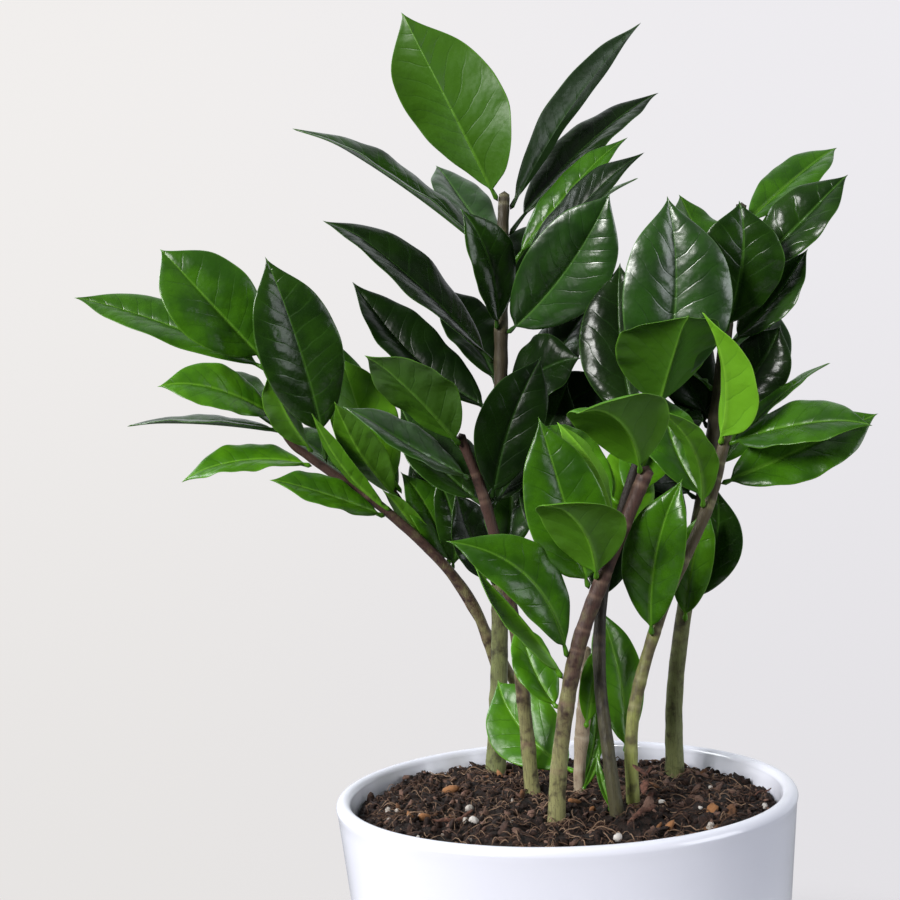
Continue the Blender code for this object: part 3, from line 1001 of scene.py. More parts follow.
@dataclass
class Leaflet:
    """One leaflet as a fine closed blade."""

    name: str
    blade: Blade
    touch: Touch
    seed: int
    thickness: float = 0.95 * MM
    stalk_radius: float = 0.95 * MM
    rows: int = 46
    half_columns: tuple = (0.0, 0.022, 0.055, 0.11, 0.19, 0.29, 0.41, 0.53, 0.65, 0.76, 0.85, 0.92,
                           0.965, 0.99, 1.0)
    stalk_rows: tuple = (0.15, 0.55)
    last_row: float = 0.988
    groove_depth: float = 0.28 * MM
    groove_breadth: float = 0.7 * MM
    keel_depth: float = 0.60 * MM
    keel_breadth: float = 0.9 * MM

    def outline(self, share: np.ndarray) -> np.ndarray:
        """Half the blade's breadth as a share of its widest, from foot to tip.

        It is the sine of the share, made fuller by a power below one, and the power grows past
        one towards the tip so that the margins draw in to a point.

        Args:
            share: places along the blade, 0 to 1.

        Returns:
            The half-breadths, 0 to 1.
        """
        blunt = 0.78 - 0.16 * self.touch.full
        power = blunt + 0.42 * smoothstep(share, 0.72, 1.0)
        return np.sin(math.pi * np.clip(share, 0, 1) ** self.touch.seat) ** power

    def spine(self) -> tuple:
        """The blade's rows, along the midrib.

        The rows stand closer together towards both ends.  The midrib is the straight way from
        foot to tip, plus the bow as a parabola, less the curl near the tip.  The sideways and
        upward directions are square to it and turn about it by the twist.

        Returns:
            The (rows, 1) shares of the whole length and of the blade's own, and the (rows, 3)
            middles, headings, sideways and upward directions, and the blade's mean upward one.
        """
        b, t = self.blade, self.touch
        x = np.linspace(0, 1, self.rows)
        blade_share = np.clip(0.55 * x + 0.45 * 0.5 * (1 - np.cos(math.pi * x)), 0, 1) * self.last_row
        share = np.concatenate([np.array(self.stalk_rows) * b.stalk, b.stalk + (1 - b.stalk) * blade_share])
        s = np.clip((share - b.stalk) / (1 - b.stalk), 0, 1)[:, None]
        ahead = unit(b.reach)
        up = unit(b.upper - ahead * (b.upper @ ahead))
        side = np.cross(ahead, up)
        u = share[:, None]
        middle = b.foot + b.reach * u + b.bow * (4 * u * (1 - u))
        middle = middle - up * (t.curl * MM * smoothstep(s, 0.72, 1.06) ** 1.5)
        heading = unit(b.reach + b.bow * (4 - 8 * u))
        lift = unit(up - heading * (heading @ up)[:, None])
        turn = np.radians(t.twist) * (u - 0.35)
        side_now = side * np.cos(turn) + lift * np.sin(turn)
        lift_now = lift * np.cos(turn) - side * np.sin(turn)
        return u, s, middle, heading, side_now, lift_now, up

    def section(self, s: np.ndarray) -> tuple:
        """Every row's loop, before it is placed on the midrib.

        A loop runs from the left margin over the glossy side to the right margin and back below.
        A point's share across times the half-breadth is its way along the folded side.  To that
        comes a swell between midrib and margin, the margin's wave (two sines with their own
        starts left and right), and half the thickness, which thins to nothing at the margin and
        has a groove along the midrib above and a keel below.

        Args:
            s: (rows, 1) shares of the blade's length.

        Returns:
            (1, corners) shares across and sheet signs, and the (rows, corners) half-breadths,
            ways across and heights.
        """
        b, t, chance = self.blade, self.touch, np.random.default_rng(self.seed)
        v = np.array(self.half_columns)
        over = np.concatenate([-v[::-1], v[1:]])
        v = np.concatenate([over, over[::-1][1:-1]])[None]
        sheet = np.concatenate([np.ones(len(over)), -np.ones(len(over) - 2)])[None]
        away = np.abs(v)
        half = 0.5 * b.breadth * self.outline(s) * (1 + 0.22 * t.lean * np.sign(v))
        fold = b.fold * (1 - 0.35 * smoothstep(s, 0.55, 1.0))
        phase = chance.uniform(0, 1, 2)
        beats = chance.uniform(1.7, 2.6)
        rhythm = np.sin(2 * math.pi * (beats * s + np.where(v > 0, phase[0], phase[1])))
        quicker = 2.3 * beats * s + phase[1] + np.where(v > 0, 0.3, 0.0)
        rhythm = rhythm + 0.45 * np.sin(2 * math.pi * quicker)
        swell = t.arch * (1 - (2 * away - 1) ** 2) + t.wave * rhythm * away**1.7 * smoothstep(s, 0.0, 0.25)
        absolute = away * half
        groove = self.groove_depth * np.exp(-((absolute / self.groove_breadth) ** 2))
        groove = groove * smoothstep(s, 0.0, 0.1) * (1 - 0.8 * s)
        keel = self.keel_depth * np.exp(-((absolute / self.keel_breadth) ** 2)) * (1.15 - s)
        thick = 0.5 * self.thickness * (1.1 - 0.45 * s) * np.sqrt(np.clip(1 - away**9, 0, 1))
        offset = np.where(sheet > 0, thick - groove, -thick - keel)
        offset = np.where(away >= 1.0, 0.0, offset)
        across = absolute * np.cos(fold) * np.sign(v)
        return v, sheet, half, across, absolute * np.sin(fold) + swell * half + offset

    def rings(self) -> tuple:
        """The blade's loops of points and what they carry.

        Each loop of the section is laid across its row of the spine, and near the stem it eases
        into a small round stalk.

        Returns:
            The (rows, corners, 3) points, the "blade" vectors, the "underside" numbers, the
            foot's point and the tip's point.
        """
        b = self.blade
        u, s, middle, heading, side, lift, up = self.spine()
        v, sheet, half, across, raised = self.section(s)
        flat = middle[:, None] + side[:, None] * across[..., None] + lift[:, None] * raised[..., None]
        radius = self.stalk_radius * (1.25 - 0.25 * smoothstep(u, 0.0, max(b.stalk, 0.01)))
        round_part = radius[..., None] * (
            side[:, None] * v[..., None] + lift[:, None] * (sheet * np.sqrt(1 - v**2))[..., None]
        )
        ease = smoothstep(u, 0.35 * b.stalk, b.stalk + 0.05)[..., None]
        rings = flat * ease + (middle[:, None] + round_part) * (1 - ease)
        length = np.linalg.norm(b.reach)
        carried = np.stack(
            np.broadcast_arrays(s * length / MM, v * half / MM, np.maximum(half, 0.3 * MM) / MM), axis=-1
        )
        sides = np.where(np.abs(v) >= 1.0, 0.5, np.where(sheet > 0, 0.0, 1.0))
        tip = middle[-1] + heading[-1] * (0.012 * length + 0.8 * MM) - up * 0.4 * MM
        foot = b.foot - unit(middle[0] - b.foot) * 1.2 * MM
        return rings, carried, np.broadcast_to(sides, rings.shape[:2]), foot, tip

    def skin(self) -> Skin:
        """The closed blade with what it carries.

        Returns:
            The skin.
        """
        rings, carried, below, foot, tip = self.rings()
        skin = skin_over(rings, foot, tip)
        ends = carried[0, 0] * 0.0, carried[-1, 0]
        skin.vectors["blade"] = np.vstack([ends[0], carried.reshape(-1, 3), ends[1]])
        skin.floats["underside"] = np.concatenate([[0.5], below.ravel(), [0.5]])
        chance = np.random.default_rng(self.seed + 7).uniform()
        skin.floats["chance"] = np.full(len(skin.points), chance)
        return skin


# The leaflets that parts/ has no room for: half hidden, edge on, or behind the others.
# The rows in the darkest tone are leaflets put into the plant's dark inside, their darkness painted shade.
SPRIGS = (
    Sprig("d3", "stem_d", 266, (-31, 10, 41), 24, (3, -6, 2), 12, (-3, 0, -2), Tone.DEEP),
    Sprig("d6", "stem_c", 228, (-15, -19, 42), 24, (1, -5, 4), 10, (-2, 0, 0), Tone.DARK),
    Sprig("d8", "stem_d", 242, (5, 16, 36), 22, (-1, -6, 2), 10, (2, 0, 0), Tone.DEEP),
    Sprig("d7", "stem_d", 263, (22, 14, 40), 20, (-1, -6, 1), 10, (3, 0, 0), Tone.DARK),
    Sprig("i1", "stem_i", 218, (12, -6, 49), 23, (-1, -6, 0), 12, (5, 2, 0), Tone.DEEP),
    Sprig("i2", "stem_i", 211, (10, -14, 48), 18, (-2, -6, 1), 12, (-2, 0, 0), Tone.FRESH),
    Sprig("b3", "stem_b", 266, (-29, 20, 81), 26, (2, -6, 2), 12, (-4, 0, 0), Tone.MID),
    Sprig("b5", "stem_b", 233, (-5, -8, 44), 17, (1, -6, 1), 12, (4, 0, 0), Tone.DEEP),
    Sprig("b6", "stem_b", 238, (-24, -17, 36), 11, (-3, -1, 6), 14, (0, 0, 0), Tone.FRESH),
    Sprig("a9", "stem_a", 263, (-30, -20, 44), 12, (3, 4, 5), 14, (-3, 0, -3), Tone.FRESH),
    Sprig("c7", "stem_c", 359, (66, 37, 59), 22, (-4, -2, 6), 14, (-2, 0, 2), Tone.MID),
    Sprig("f2", "stem_f", 173, (6, -5, 34), 11, (1, -6, 0), 10, (0, 0, 0), Tone.FRESH),
    Sprig("r10", "stem_h", 281, (50, 24, 37), 13, (-4, -2, 6), 12, (0, 0, 3), Tone.MID),
    Sprig("g4", "stem_g", 245, (11, 19, 44), 24, (1, -6, 1), 10, (4, 0, 0), Tone.YOUNG),
    Sprig("g5", "stem_g", 282, (29, 26, 22), 22, (-1, -5, 3), 10, (0, 0, 2), Tone.DARK),
    Sprig("g6", "stem_g", 264, (19, 20, 40), 24, (-1, -6, 1), 10, (3, 0, 0), Tone.FRESH),
    Sprig("h6", "stem_h", 262, (-10, 22, 44), 24, (1, -6, 1), 10, (-4, 0, 0), Tone.MID),
    Sprig("i3", "stem_i", 292, (-10, 14, 46), 26, (1, -6, 1), 10, (-3, 0, 0), Tone.INK),
    Sprig("i4", "stem_i", 275, (22, 8, 38), 22, (-1, -6, 1), 10, (3, 0, 0), Tone.MID),
    Sprig("i5", "stem_i", 308, (-26, 22, 38), 26, (2, -3, 6), 14, (-2, 2, 2), Tone.MID),
    Sprig("i6", "stem_i", 350, (-12, 30, 48), 26, (1, -3, 5), 14, (0, 3, 0), Tone.MID),
    Sprig("c14", "stem_c", 352, (24, 30, 46), 30, (-1, -4, 6), 14, (0, 2, 2), Tone.INK),
    Sprig("c15", "stem_c", 318, (-20, 28, 50), 30, (1, -4, 6), 14, (0, 3, 2), Tone.INK),
    Sprig("c16", "stem_c", 282, (28, 24, 44), 28, (-1, -4, 6), 14, (0, 2, 2), Tone.INK),
    Sprig("c17", "stem_c", 258, (-26, 22, 42), 26, (1, -4, 6), 14, (0, 2, 2), Tone.INK),
    Sprig("a10", "stem_a", 274, (-38, 24, 32), 26, (1, -2, 6), 14, (0, 2, 3), Tone.MID),
    Sprig("a11", "stem_a", 300, (-40, 24, 36), 26, (1, -2, 6), 14, (0, 2, 3), Tone.MID),
    Sprig("c18", "stem_c", 286, (48, -8, 32), 32, (-1, -6, 3), 12, (0, 0, 3), Tone.INK),
    Sprig("c19", "stem_c", 272, (28, -12, 44), 28, (-1, -6, 1), 10, (3, 0, 0), Tone.INK),
    Sprig("g7", "stem_g", 236, (-24, 24, 46), 28, (1, -6, 1), 10, (-3, 0, 0), Tone.INK),
    Sprig("g8", "stem_g", 262, (-30, 22, 34), 28, (1, -6, 1), 10, (-3, 0, 2), Tone.FRESH),
    Sprig("g9", "stem_g", 224, (6, 22, 44), 22, (0, -6, 1), 10, (3, 0, 0), Tone.INK),
    Sprig("i7", "stem_i", 262, (-32, -2, 40), 30, (1, -6, 1), 10, (-3, 0, 0), Tone.INK),
    Sprig("i8", "stem_i", 244, (-24, 0, 46), 26, (1, -6, 1), 10, (-3, 0, 0), Tone.INK),
    Sprig("i9", "stem_i", 300, (24, -8, 34), 26, (-1, -6, 2), 10, (3, 0, 0), Tone.DARK),
    Sprig("s1", "stem_f", 147, (7, -5, 17), 3.4, (1, -6, 0), 20, (1, 0, 0), Tone.MID),
    Sprig("s2", "stem_g", 147, (-4, 5, 20), 3.2, (1, -6, 0), 20, (-1, 0, 0), Tone.MID),
    Sprig("s3", "stem_f", 149, (7, 2, 30), 8.0, (1, -6, 0), 14, (2, 0, 0), Tone.MID),
    Sprig("b7", "stem_b", 252, (10, 8, 46), 24, (-1, -3, 6), 14, (0, 2, 2), Tone.DEEP),
    Sprig("i10", "stem_i", 296, (-14, 10, 48), 30, (1, -6, 0), 10, (-3, 0, 0), Tone.INK),
)


# The greens of the frame's leaflets, chosen partly for the light on each: the first row's darkest green is
# painted shade, and b1 takes the young green as painted light though it stands in shadow.  Then where a
# leaflet departs from the plain form.
TONES = {
    Tone.INK: "c5 c12 c13 d4 d5",
    Tone.DARK: "c2 c3 c10 r2",
    Tone.SHEEN: "c6 c9 d2 r1 r9",
    Tone.DEEP: "a3 a5 c8 c11 r5 r7 r8",
    Tone.MID: "a1 a2 b4 c1 c4 d1 e3 e5 h1 r3 r6 r11 r12",
    Tone.FRESH: "a4 a6 a7 a8 b2 e1 e4 e6 e7 f1 h2 h3",
    Tone.YOUNG: "b1 e2 r4",
}


TOUCHES = {
    "leaf_c1": Touch(wave=0.03, arch=0.06, curl=-1.0, twist=-70, full=1.0, seat=0.84),
    "leaf_c8": Touch(wave=0.06, arch=0.05, curl=4.0, twist=6, full=0.4),
    "leaf_c10": Touch(wave=0.06, arch=0.06, curl=5.0, twist=8, full=0.5),
    "leaf_c6": Touch(lean=0.1, wave=0.05, arch=0.11, curl=1.0, full=0.7),
    "leaf_e1": Touch(lean=0.1, wave=0.04, arch=0.10, curl=3.0, full=1.0),
    "leaf_e3": Touch(lean=-0.1, wave=0.03, arch=0.10, curl=0.5, full=0.6, seat=0.78),
    "leaf_e4": Touch(lean=0.1, wave=0.03, arch=0.10, curl=3.0, twist=10, full=1.0),
    "leaf_r1": Touch(lean=0.1, wave=0.04, arch=0.13, curl=1.0, full=0.5),
    "leaf_r2": Touch(lean=-0.2, wave=0.04, arch=0.12, curl=1.0, full=0.6),
    "leaf_r3": Touch(lean=-0.1, wave=0.04, arch=0.10, curl=2.0, full=1.0),
    "leaf_r4": Touch(wave=0.03, arch=0.06, curl=0.0, twist=8, full=0.6, seat=0.62),
    "leaf_a3": Touch(lean=-0.1, wave=0.04, arch=0.08, curl=1.0, full=0.6),
    "leaf_a2": Touch(lean=0.1, wave=0.03, arch=0.08, curl=1.0, full=0.9),
}


@dataclass
class Foliage:
    """Every leaflet of the plant."""

    lines: dict

    def slot_of(self, name: str) -> str:
        """The record's material slot of a node."""
        return next(s["material_slot"] for s in frame["record"]["subparts"] if s["node"] == name)

    def plain_touch(self, seed: int) -> Touch:
        """A leaflet's small departures, drawn from its own number.

        Args:
            seed: the leaflet's number.

        Returns:
            The departures.
        """
        chance = np.random.default_rng(1000 + seed)
        return Touch(
            lean=chance.uniform(-0.25, 0.25), wave=chance.uniform(0.03, 0.075),
            arch=chance.uniform(0.05, 0.11), curl=chance.uniform(0.0, 2.6),
            twist=chance.uniform(-7, 7), full=chance.uniform(0.35, 0.75),
        )

    def build(self) -> None:
        """Makes every leaflet: first the frame's, then the table's."""
        pattern = blade_group()
        worn = {tone: tone.value.make(pattern) for tone in Tone}
        by_name = {name: tone for tone, names in TONES.items() for name in names.split()}
        nodes = sorted(n for n in frame["nodes"] if n.startswith("leaf_"))
        for seed, node in enumerate(nodes):
            touch = TOUCHES.get(node, self.plain_touch(seed))
            tone = by_name[node.replace("leaf_", "")]
            leaflet = Leaflet(node.replace("leaf_", "blade_"), Blade.of_node(node), touch, seed)
            add_piece(leaflet.name, leaflet.skin(), worn[tone], self.slot_of(node), node)
            LOG.info("%s stands for %s, %.0f mm long", leaflet.name, node,
                     np.linalg.norm(leaflet.blade.reach) / MM)
        for seed, sprig in enumerate(SPRIGS, start=200):
            name = f"blade_{sprig.name}x"
            touch = TOUCHES.get(name, self.plain_touch(seed))
            leaflet = Leaflet(name, Blade.on_stem(self.lines[sprig.stem], sprig), touch, seed)
            add_piece(name, leaflet.skin(), worn[sprig.tone], sprig.tone.value.slot)
            LOG.info("%s grows on %s", name, sprig.stem)


# ------------------------------------------------------------------ stems


@dataclass
class StemTube:
    """One stem as a fine tube with scars and swellings."""

    line: StemLine
    feet: list
    seed: int
    sides: int = 28
    rows: int = 130
    old_scars: int = 5
    swelling: float = 3.5 * MM
    groove: float = 0.7 * MM
    groove_rise: float = 1.6 * MM
    flare: float = 9.0 * MM
    skin_noise: float = 6.0 * MM

    def skin(self) -> Skin:
        """The closed tube.

        The radius is the frame's, with a flare where the stem leaves the soil, a low swelling
        with a groove over it at each leaf foot and at old scars, and a little noise.  It is
        carried along a smooth curve through the frame's ring middles.

        Returns:
            The skin, with what the bark pattern reads.
        """
        chance = np.random.default_rng(self.seed)
        knots = self.line.centres
        place = np.linspace(0, len(knots) - 1, self.rows)
        middle = np.stack([self.smooth(knots[:, k], place) for k in range(3)], axis=-1)
        radius = self.smooth(self.line.radii, place)
        heights = middle[:, 2]
        rise = (heights - heights[0]) / (heights[-1] - heights[0])
        old = chance.uniform(heights[0] + 12 * MM, heights[-1], self.old_scars)
        scars = np.sort(np.concatenate([self.feet, old]))
        distance = heights[:, None] - scars[None]
        swell = np.exp(-((distance / self.swelling) ** 2)).sum(axis=1)
        cut = np.exp(-(((distance - self.groove_rise) / self.groove) ** 2)).sum(axis=1)
        radius = radius * (0.95 + 0.08 * np.minimum(swell, 1.3) - 0.05 * np.minimum(cut, 1.0))
        radius = radius * (1 + 0.14 * np.exp(-((heights - heights[0]) / self.flare)))
        ahead = unit(np.gradient(middle, axis=0))
        right = unit(np.cross(ahead, (0.0, 1.0, 0.0)))
        back = np.cross(ahead, right)
        turns = 2 * math.pi * np.arange(self.sides) / self.sides
        ring = np.cos(turns)[:, None] * right[:, None] + np.sin(turns)[:, None] * back[:, None]
        rings = middle[:, None] + ring * radius[:, None, None]
        rings += ring * (0.022 * radius[:, None, None] * swirl(rings, self.skin_noise, self.seed)[..., None])
        tip = middle[-1] + ahead[-1] * 0.7 * radius[-1]
        skin = skin_over(rings, middle[0] - (0.0, 0.0, MM), tip)
        spread = np.repeat(rise, self.sides)
        skin.floats["rise"] = np.concatenate([[0.0], spread, [1.0]])
        marks = np.repeat(np.clip(cut, 0, 1), self.sides)
        skin.floats["scar"] = np.concatenate([[0.0], marks, [0.0]])
        return skin

    @staticmethod
    def smooth(values: np.ndarray, place: np.ndarray) -> np.ndarray:
        """Catmull-Rom values at fractional places along a row of knots.

        Args:
            values: one number a knot.
            place: places along the row, in knots.

        Returns:
            The values there.
        """
        ends = np.concatenate([[2 * values[0] - values[1]], values, [2 * values[-1] - values[-2]]])
        span = np.minimum(place.astype(int), len(values) - 2)
        t = place - span
        a, b, c, d = (ends[span + k] for k in range(4))
        square, cube = 2 * a - 5 * b + 4 * c - d, 3 * b - a - 3 * c + d
        return 0.5 * (2 * b + (c - a) * t + square * t**2 + cube * t**3)


@dataclass
class Stems:
    """The nine stems."""

    lines: dict
    tones = {"stem_c": StemTone.OLIVE, "stem_i": StemTone.OLIVE, "stem_h": StemTone.LIME,
             "stem_f": StemTone.PALE, "stem_g": StemTone.UMBER}

    @staticmethod
    def feet_on(line: StemLine) -> list:
        """The heights of the frame's leaflet feet that touch a stem.

        Args:
            line: the stem's line.

        Returns:
            Their heights in metres.
        """
        heights = []
        for name in (n for n in frame["nodes"] if n.startswith("leaf_")):
            foot = node_rings(name)[0][0]
            if line.centres[0, 2] < foot[2] < line.centres[-1, 2]:
                if np.linalg.norm(line.at(foot[2]) - foot) < line.radius(foot[2]) + 2 * MM:
                    heights.append(foot[2])
        return heights

    def build(self) -> None:
        """Makes every stem."""
        pattern = bark_group()
        worn = {tone: tone.value.make(pattern) for tone in StemTone}
        for seed, (node, line) in enumerate(sorted(self.lines.items())):
            tube = StemTube(line, self.feet_on(line), seed)
            tone = self.tones.get(node, StemTone.PURPLE)
            add_piece(node.replace("stem_", "stalk_"), tube.skin(), worn[tone], tone.value.slot, node)
            LOG.info("%s has %d leaf feet", node, len(tube.feet))


# ------------------------------------------------------------------ pot


@dataclass
class Pot:
    """The glazed pot, turned again in fine steps inside the frame's outline."""

    sides: int = 220
    wall: float = 6.0 * MM
    foot_round: float = 6.0 * MM
    floor: float = 8.0 * MM
    taper: float = math.radians(6.3)

    def outline(self) -> np.ndarray:
        """(radius, height) points from the inside floor over the lip to the flat foot.

        The walls are straight.  The lip is a half circle as wide as the wall, and the foot is a
        quarter circle.

        Returns:
            (points, 2) radii and heights.
        """
        low, high = (np.array(c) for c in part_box("pot"))
        rim, top = (high[0] - low[0]) / 2, high[2]
        lip = self.wall / 2

        def outer(height: np.ndarray) -> np.ndarray:
            """The outer wall's radius at a height."""
            return rim - (top - np.asarray(height)) * math.tan(self.taper)

        inner_heights = np.linspace(self.floor + 4 * MM, top - lip - MM, 24)
        turn = np.linspace(math.pi, 0, 19)
        lips = np.stack([rim - lip + lip * np.cos(turn), top - lip + lip * np.sin(turn)], axis=-1)
        outer_heights = np.linspace(top - lip - 2 * MM, self.foot_round + MM, 40)
        quarter = np.linspace(0, -math.pi / 2, 9)
        foot_middle = float(outer(self.foot_round)) - self.foot_round
        foot = np.stack([foot_middle + self.foot_round * np.cos(quarter),
                         self.foot_round * (1 + np.sin(quarter))], axis=-1)
        inside = np.stack([outer(inner_heights) - self.wall, inner_heights], axis=-1)
        outside = np.stack([outer(outer_heights), outer_heights], axis=-1)
        start = np.array([[0.5 * inside[0, 0], self.floor], [inside[0, 0] - 4 * MM, self.floor]])
        end = np.array([[0.5 * foot[-1, 0], 0.0]])
        return np.vstack([start, inside, lips, outside, foot, end])

    def build(self) -> None:
        """Turns the outline about the pot's axis."""
        profile = self.outline()
        turns = 2 * math.pi * np.arange(self.sides) / self.sides
        rings = np.stack(
            [
                profile[:, :1] * np.cos(turns), profile[:, :1] * np.sin(turns),
                np.broadcast_to(profile[:, 1:], (len(profile), self.sides)),
            ],
            axis=-1,
        )
        skin = skin_over(rings, np.array([0, 0, profile[0, 1]]), np.array([0, 0, 0]))
        add_piece("glazed_pot", skin, GlazeFinish().make(), "pot_glaze", "pot")
        LOG.info("pot: rim %.0f mm across", 2000 * profile[:, 0].max())


# ------------------------------------------------------------------ soil


@dataclass
class Soil:
    """The potting mix: a rough bed, and what lies loose on it."""

    # Where the largest loose things lie, in millimetres.  Grains and barks: x, y and half the
    # length.  Sticks: start, end and radius.  Husks: x, y and the height over the bed.
    GRAINS = ((-37, -33, 2.0), (-27, -38, 1.6), (-71, -8, 1.4), (-49, -41, 0.9), (-58, -50, 1.0),
              (-39, -54, 1.1), (60, 2, 1.3), (11, -12, 1.1), (14, -61, 1.9), (42, -64, 1.1))
    BARKS = ((-46, 29, 4.6), (-56, -28, 3.4), (54, -30, 3.0), (34, -50, 3.6), (-24, 50, 3.4))
    STICKS = (((-53, -30), (-38, -26), 0.85), ((20, -46), (31, -38), 1.0), ((72, -8), (83, -3), 0.35))
    HUSKS = ((31, -24, 4), (29, -28, 9), (19, -24, 6), (31, -20, 13), (28, -27, 15))

    rows: int = 96
    sides: int = 260
    crumbs: int = 3600
    fibres: int = 980
    perlite: int = 30
    chips: int = 26
    clods: int = 150
    crown: float = 3.5 * MM
    left_slope: float = 1.2 * MM
    clod_ring: tuple = (76.0, 82.0)
    fibre_limit: float = 82 * MM

    def level(self, x: np.ndarray, y: np.ndarray) -> np.ndarray:
        """The bed's height: a low crown, a slope up to the left edge, and three sizes of noise.

        Args:
            x: places across.
            y: places in depth.

        Returns:
            The heights.
        """
        low, high = (np.array(c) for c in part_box("soil"))
        edge = high[2] - self.crown
        spot = np.stack([x, y, np.zeros_like(x)], axis=-1)
        reach = np.hypot(x, y) / (high[0] - low[0]) * 2
        bed = edge + self.crown * (1 - reach**2) + self.left_slope * reach**2 * smoothstep(-x, 0.0, 80 * MM)
        bed = bed + 1.1 * MM * swirl(spot, 30 * MM, 3) + 0.8 * MM * swirl(spot, 11 * MM, 4)
        return bed + 0.6 * MM * swirl(spot, 4.5 * MM, 5, 14) - MM

    def bed(self) -> Skin:
        """The bed: rings of the levelled surface, then a wall down inside the pot.

        Returns:
            The closed skin.
        """
        low, high = (np.array(c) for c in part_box("soil"))
        rim = (high[0] - low[0]) / 2
        turns = 2 * math.pi * np.arange(self.sides) / self.sides
        reach = rim * np.linspace(0.012, 1.0, self.rows)[:, None]
        x, y = reach * np.cos(turns), reach * np.sin(turns)
        top = np.stack([x, y, self.level(x, y)], axis=-1)
        top[-1, :, 2] -= 1.2 * MM
        wall = []
        for drop, pull in ((4, 0.4), (60, 6.6), (125, 14.0)):
            shrink = (rim - pull * MM) / rim
            wall.append(np.stack([x[-1] * shrink, y[-1] * shrink, top[-1, :, 2] - drop * MM], axis=-1))
        rings = np.concatenate([top, np.array(wall)])
        centre = np.array([0.0, 0.0, float(self.level(np.zeros(1), np.zeros(1))[0])])
        skin = skin_over(rings, centre, np.array([0.0, 0.0, rings[-1, 0, 2]]))
        skin.floats["tint"] = np.zeros(len(skin.points))
        return skin

    def scatter(self, chance: np.random.Generator, count: int, inset: float) -> np.ndarray:
        """Places on the bed, evenly spread.

        Args:
            chance: where its randomness comes from.
            count: how many places.
            inset: how far they stay from the edge.

        Returns:
            (count, 3) places.
        """
        low, high = (np.array(c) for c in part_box("soil"))
        reach = ((high[0] - low[0]) / 2 - inset) * np.sqrt(chance.uniform(0, 1, count))
        turn = chance.uniform(0, 2 * math.pi, count)
        x, y = reach * np.cos(turn), reach * np.sin(turn)
        return np.stack([x, y, self.level(x, y)], axis=-1)

    @staticmethod
    def lump(chance: np.random.Generator, centre: np.ndarray, size: tuple, rough: float, tint: float,
             sides: int = 6) -> Skin:
        """A rough lump: a ball of three rings, each point pushed in or out, squashed and turned.

        Args:
            chance: where its randomness comes from.
            centre: its middle.
            size: its half-sizes before it is turned.
            rough: how far its points stray, as a share of its size.
            tint: the number that its colour follows.
            sides: corners in a ring.

        Returns:
            The lump.
        """
        lift = np.array([-0.62, 0.0, 0.62])
        turns = 2 * math.pi * (np.arange(sides)[None] + 0.5 * np.array([0, 1, 0])[:, None]) / sides
        ball = np.stack(
            [np.cos(turns) * np.sqrt(1 - lift**2)[:, None], np.sin(turns) * np.sqrt(1 - lift**2)[:, None],
             np.broadcast_to(lift[:, None], turns.shape)], axis=-1,
        )
        ball = ball * (1 + rough * chance.uniform(-1, 1, ball.shape[:2]))[..., None]
        ends = np.array([[0, 0, -1.0], [0, 0, 1.0]]) * (1 + rough * chance.uniform(-1, 0.5, (2, 1)))
        quaternion = unit(chance.normal(size=4))
        spin = np.array(Matrix(Vector(quaternion).to_3d().to_track_quat("X", "Z").to_matrix()))
        ball, low, high = ((points * np.array(size)) @ spin.T + centre for points in (ball, *ends))
        skin = skin_over(ball, low, high)
        skin.floats["tint"] = np.full(len(skin.points), tint)
        return skin

    @staticmethod
    def strand(path: np.ndarray, radius: float, tint: float, sides: int = 4) -> Skin:
        """A thin tube carried along a path, tapering to both ends.

        Args:
            path: (n, 3) places along its middle.
            radius: its radius at the middle.
            tint: the number that its colour follows.
            sides: corners in a ring.

        Returns:
            The tube.
        """
        ahead = unit(np.gradient(path, axis=0))
        right = unit(np.cross(ahead, np.array([0.13, 0.21, 0.97])))
        back = np.cross(ahead, right)
        turns = 2 * math.pi * np.arange(sides) / sides
        thin = radius * (0.45 + 0.55 * np.sin(math.pi * np.linspace(0.12, 0.88, len(path))))
        ring = np.cos(turns)[:, None] * right[:, None] + np.sin(turns)[:, None] * back[:, None]
        rings = path[:, None] + ring * thin[:, None, None]
        skin = skin_over(rings, path[0] - ahead[0] * radius, path[-1] + ahead[-1] * radius)
        skin.floats["tint"] = np.full(len(skin.points), tint)
        return skin

    def resting(self, x: float, y: float, rise: float) -> np.ndarray:
        """A point RISE above the bed, from millimetres."""
        place = np.array([x, y], float) * MM
        return np.array([*place, float(self.level(place[:1], place[1:])[0]) + rise * MM])

    def crumb_skins(self) -> list:
        """Crumbs of peat, many small and a few large, and clods heaped against the wall.

        Returns:
            One skin a crumb.
        """
        chance = np.random.default_rng(11)
        made = []
        for centre in self.scatter(chance, self.crumbs, 1.5 * MM):
            size = MM * (0.45 + 1.7 * chance.uniform() ** 3.0)
            centre[2] += 0.25 * size
            half = size * np.array([chance.uniform(*span) for span in ((1.0, 1.9), (0.5, 1.1), (0.25, 0.8))])
            made.append(self.lump(chance, centre, half, 0.42, chance.uniform() ** 2.0, 6))
        for turn in chance.uniform(-0.25 * math.pi, 1.2 * math.pi, self.clods):
            reach = chance.uniform(*self.clod_ring)
            size = MM * chance.uniform(0.8, 2.6)
            spot = self.resting(reach * math.cos(turn), reach * math.sin(turn), 0.4)
            half = size * chance.uniform(0.45, 1.0, 3)
            made.append(self.lump(chance, spot, half, 0.45, 0.4 * chance.uniform() ** 2, 7))
        return made

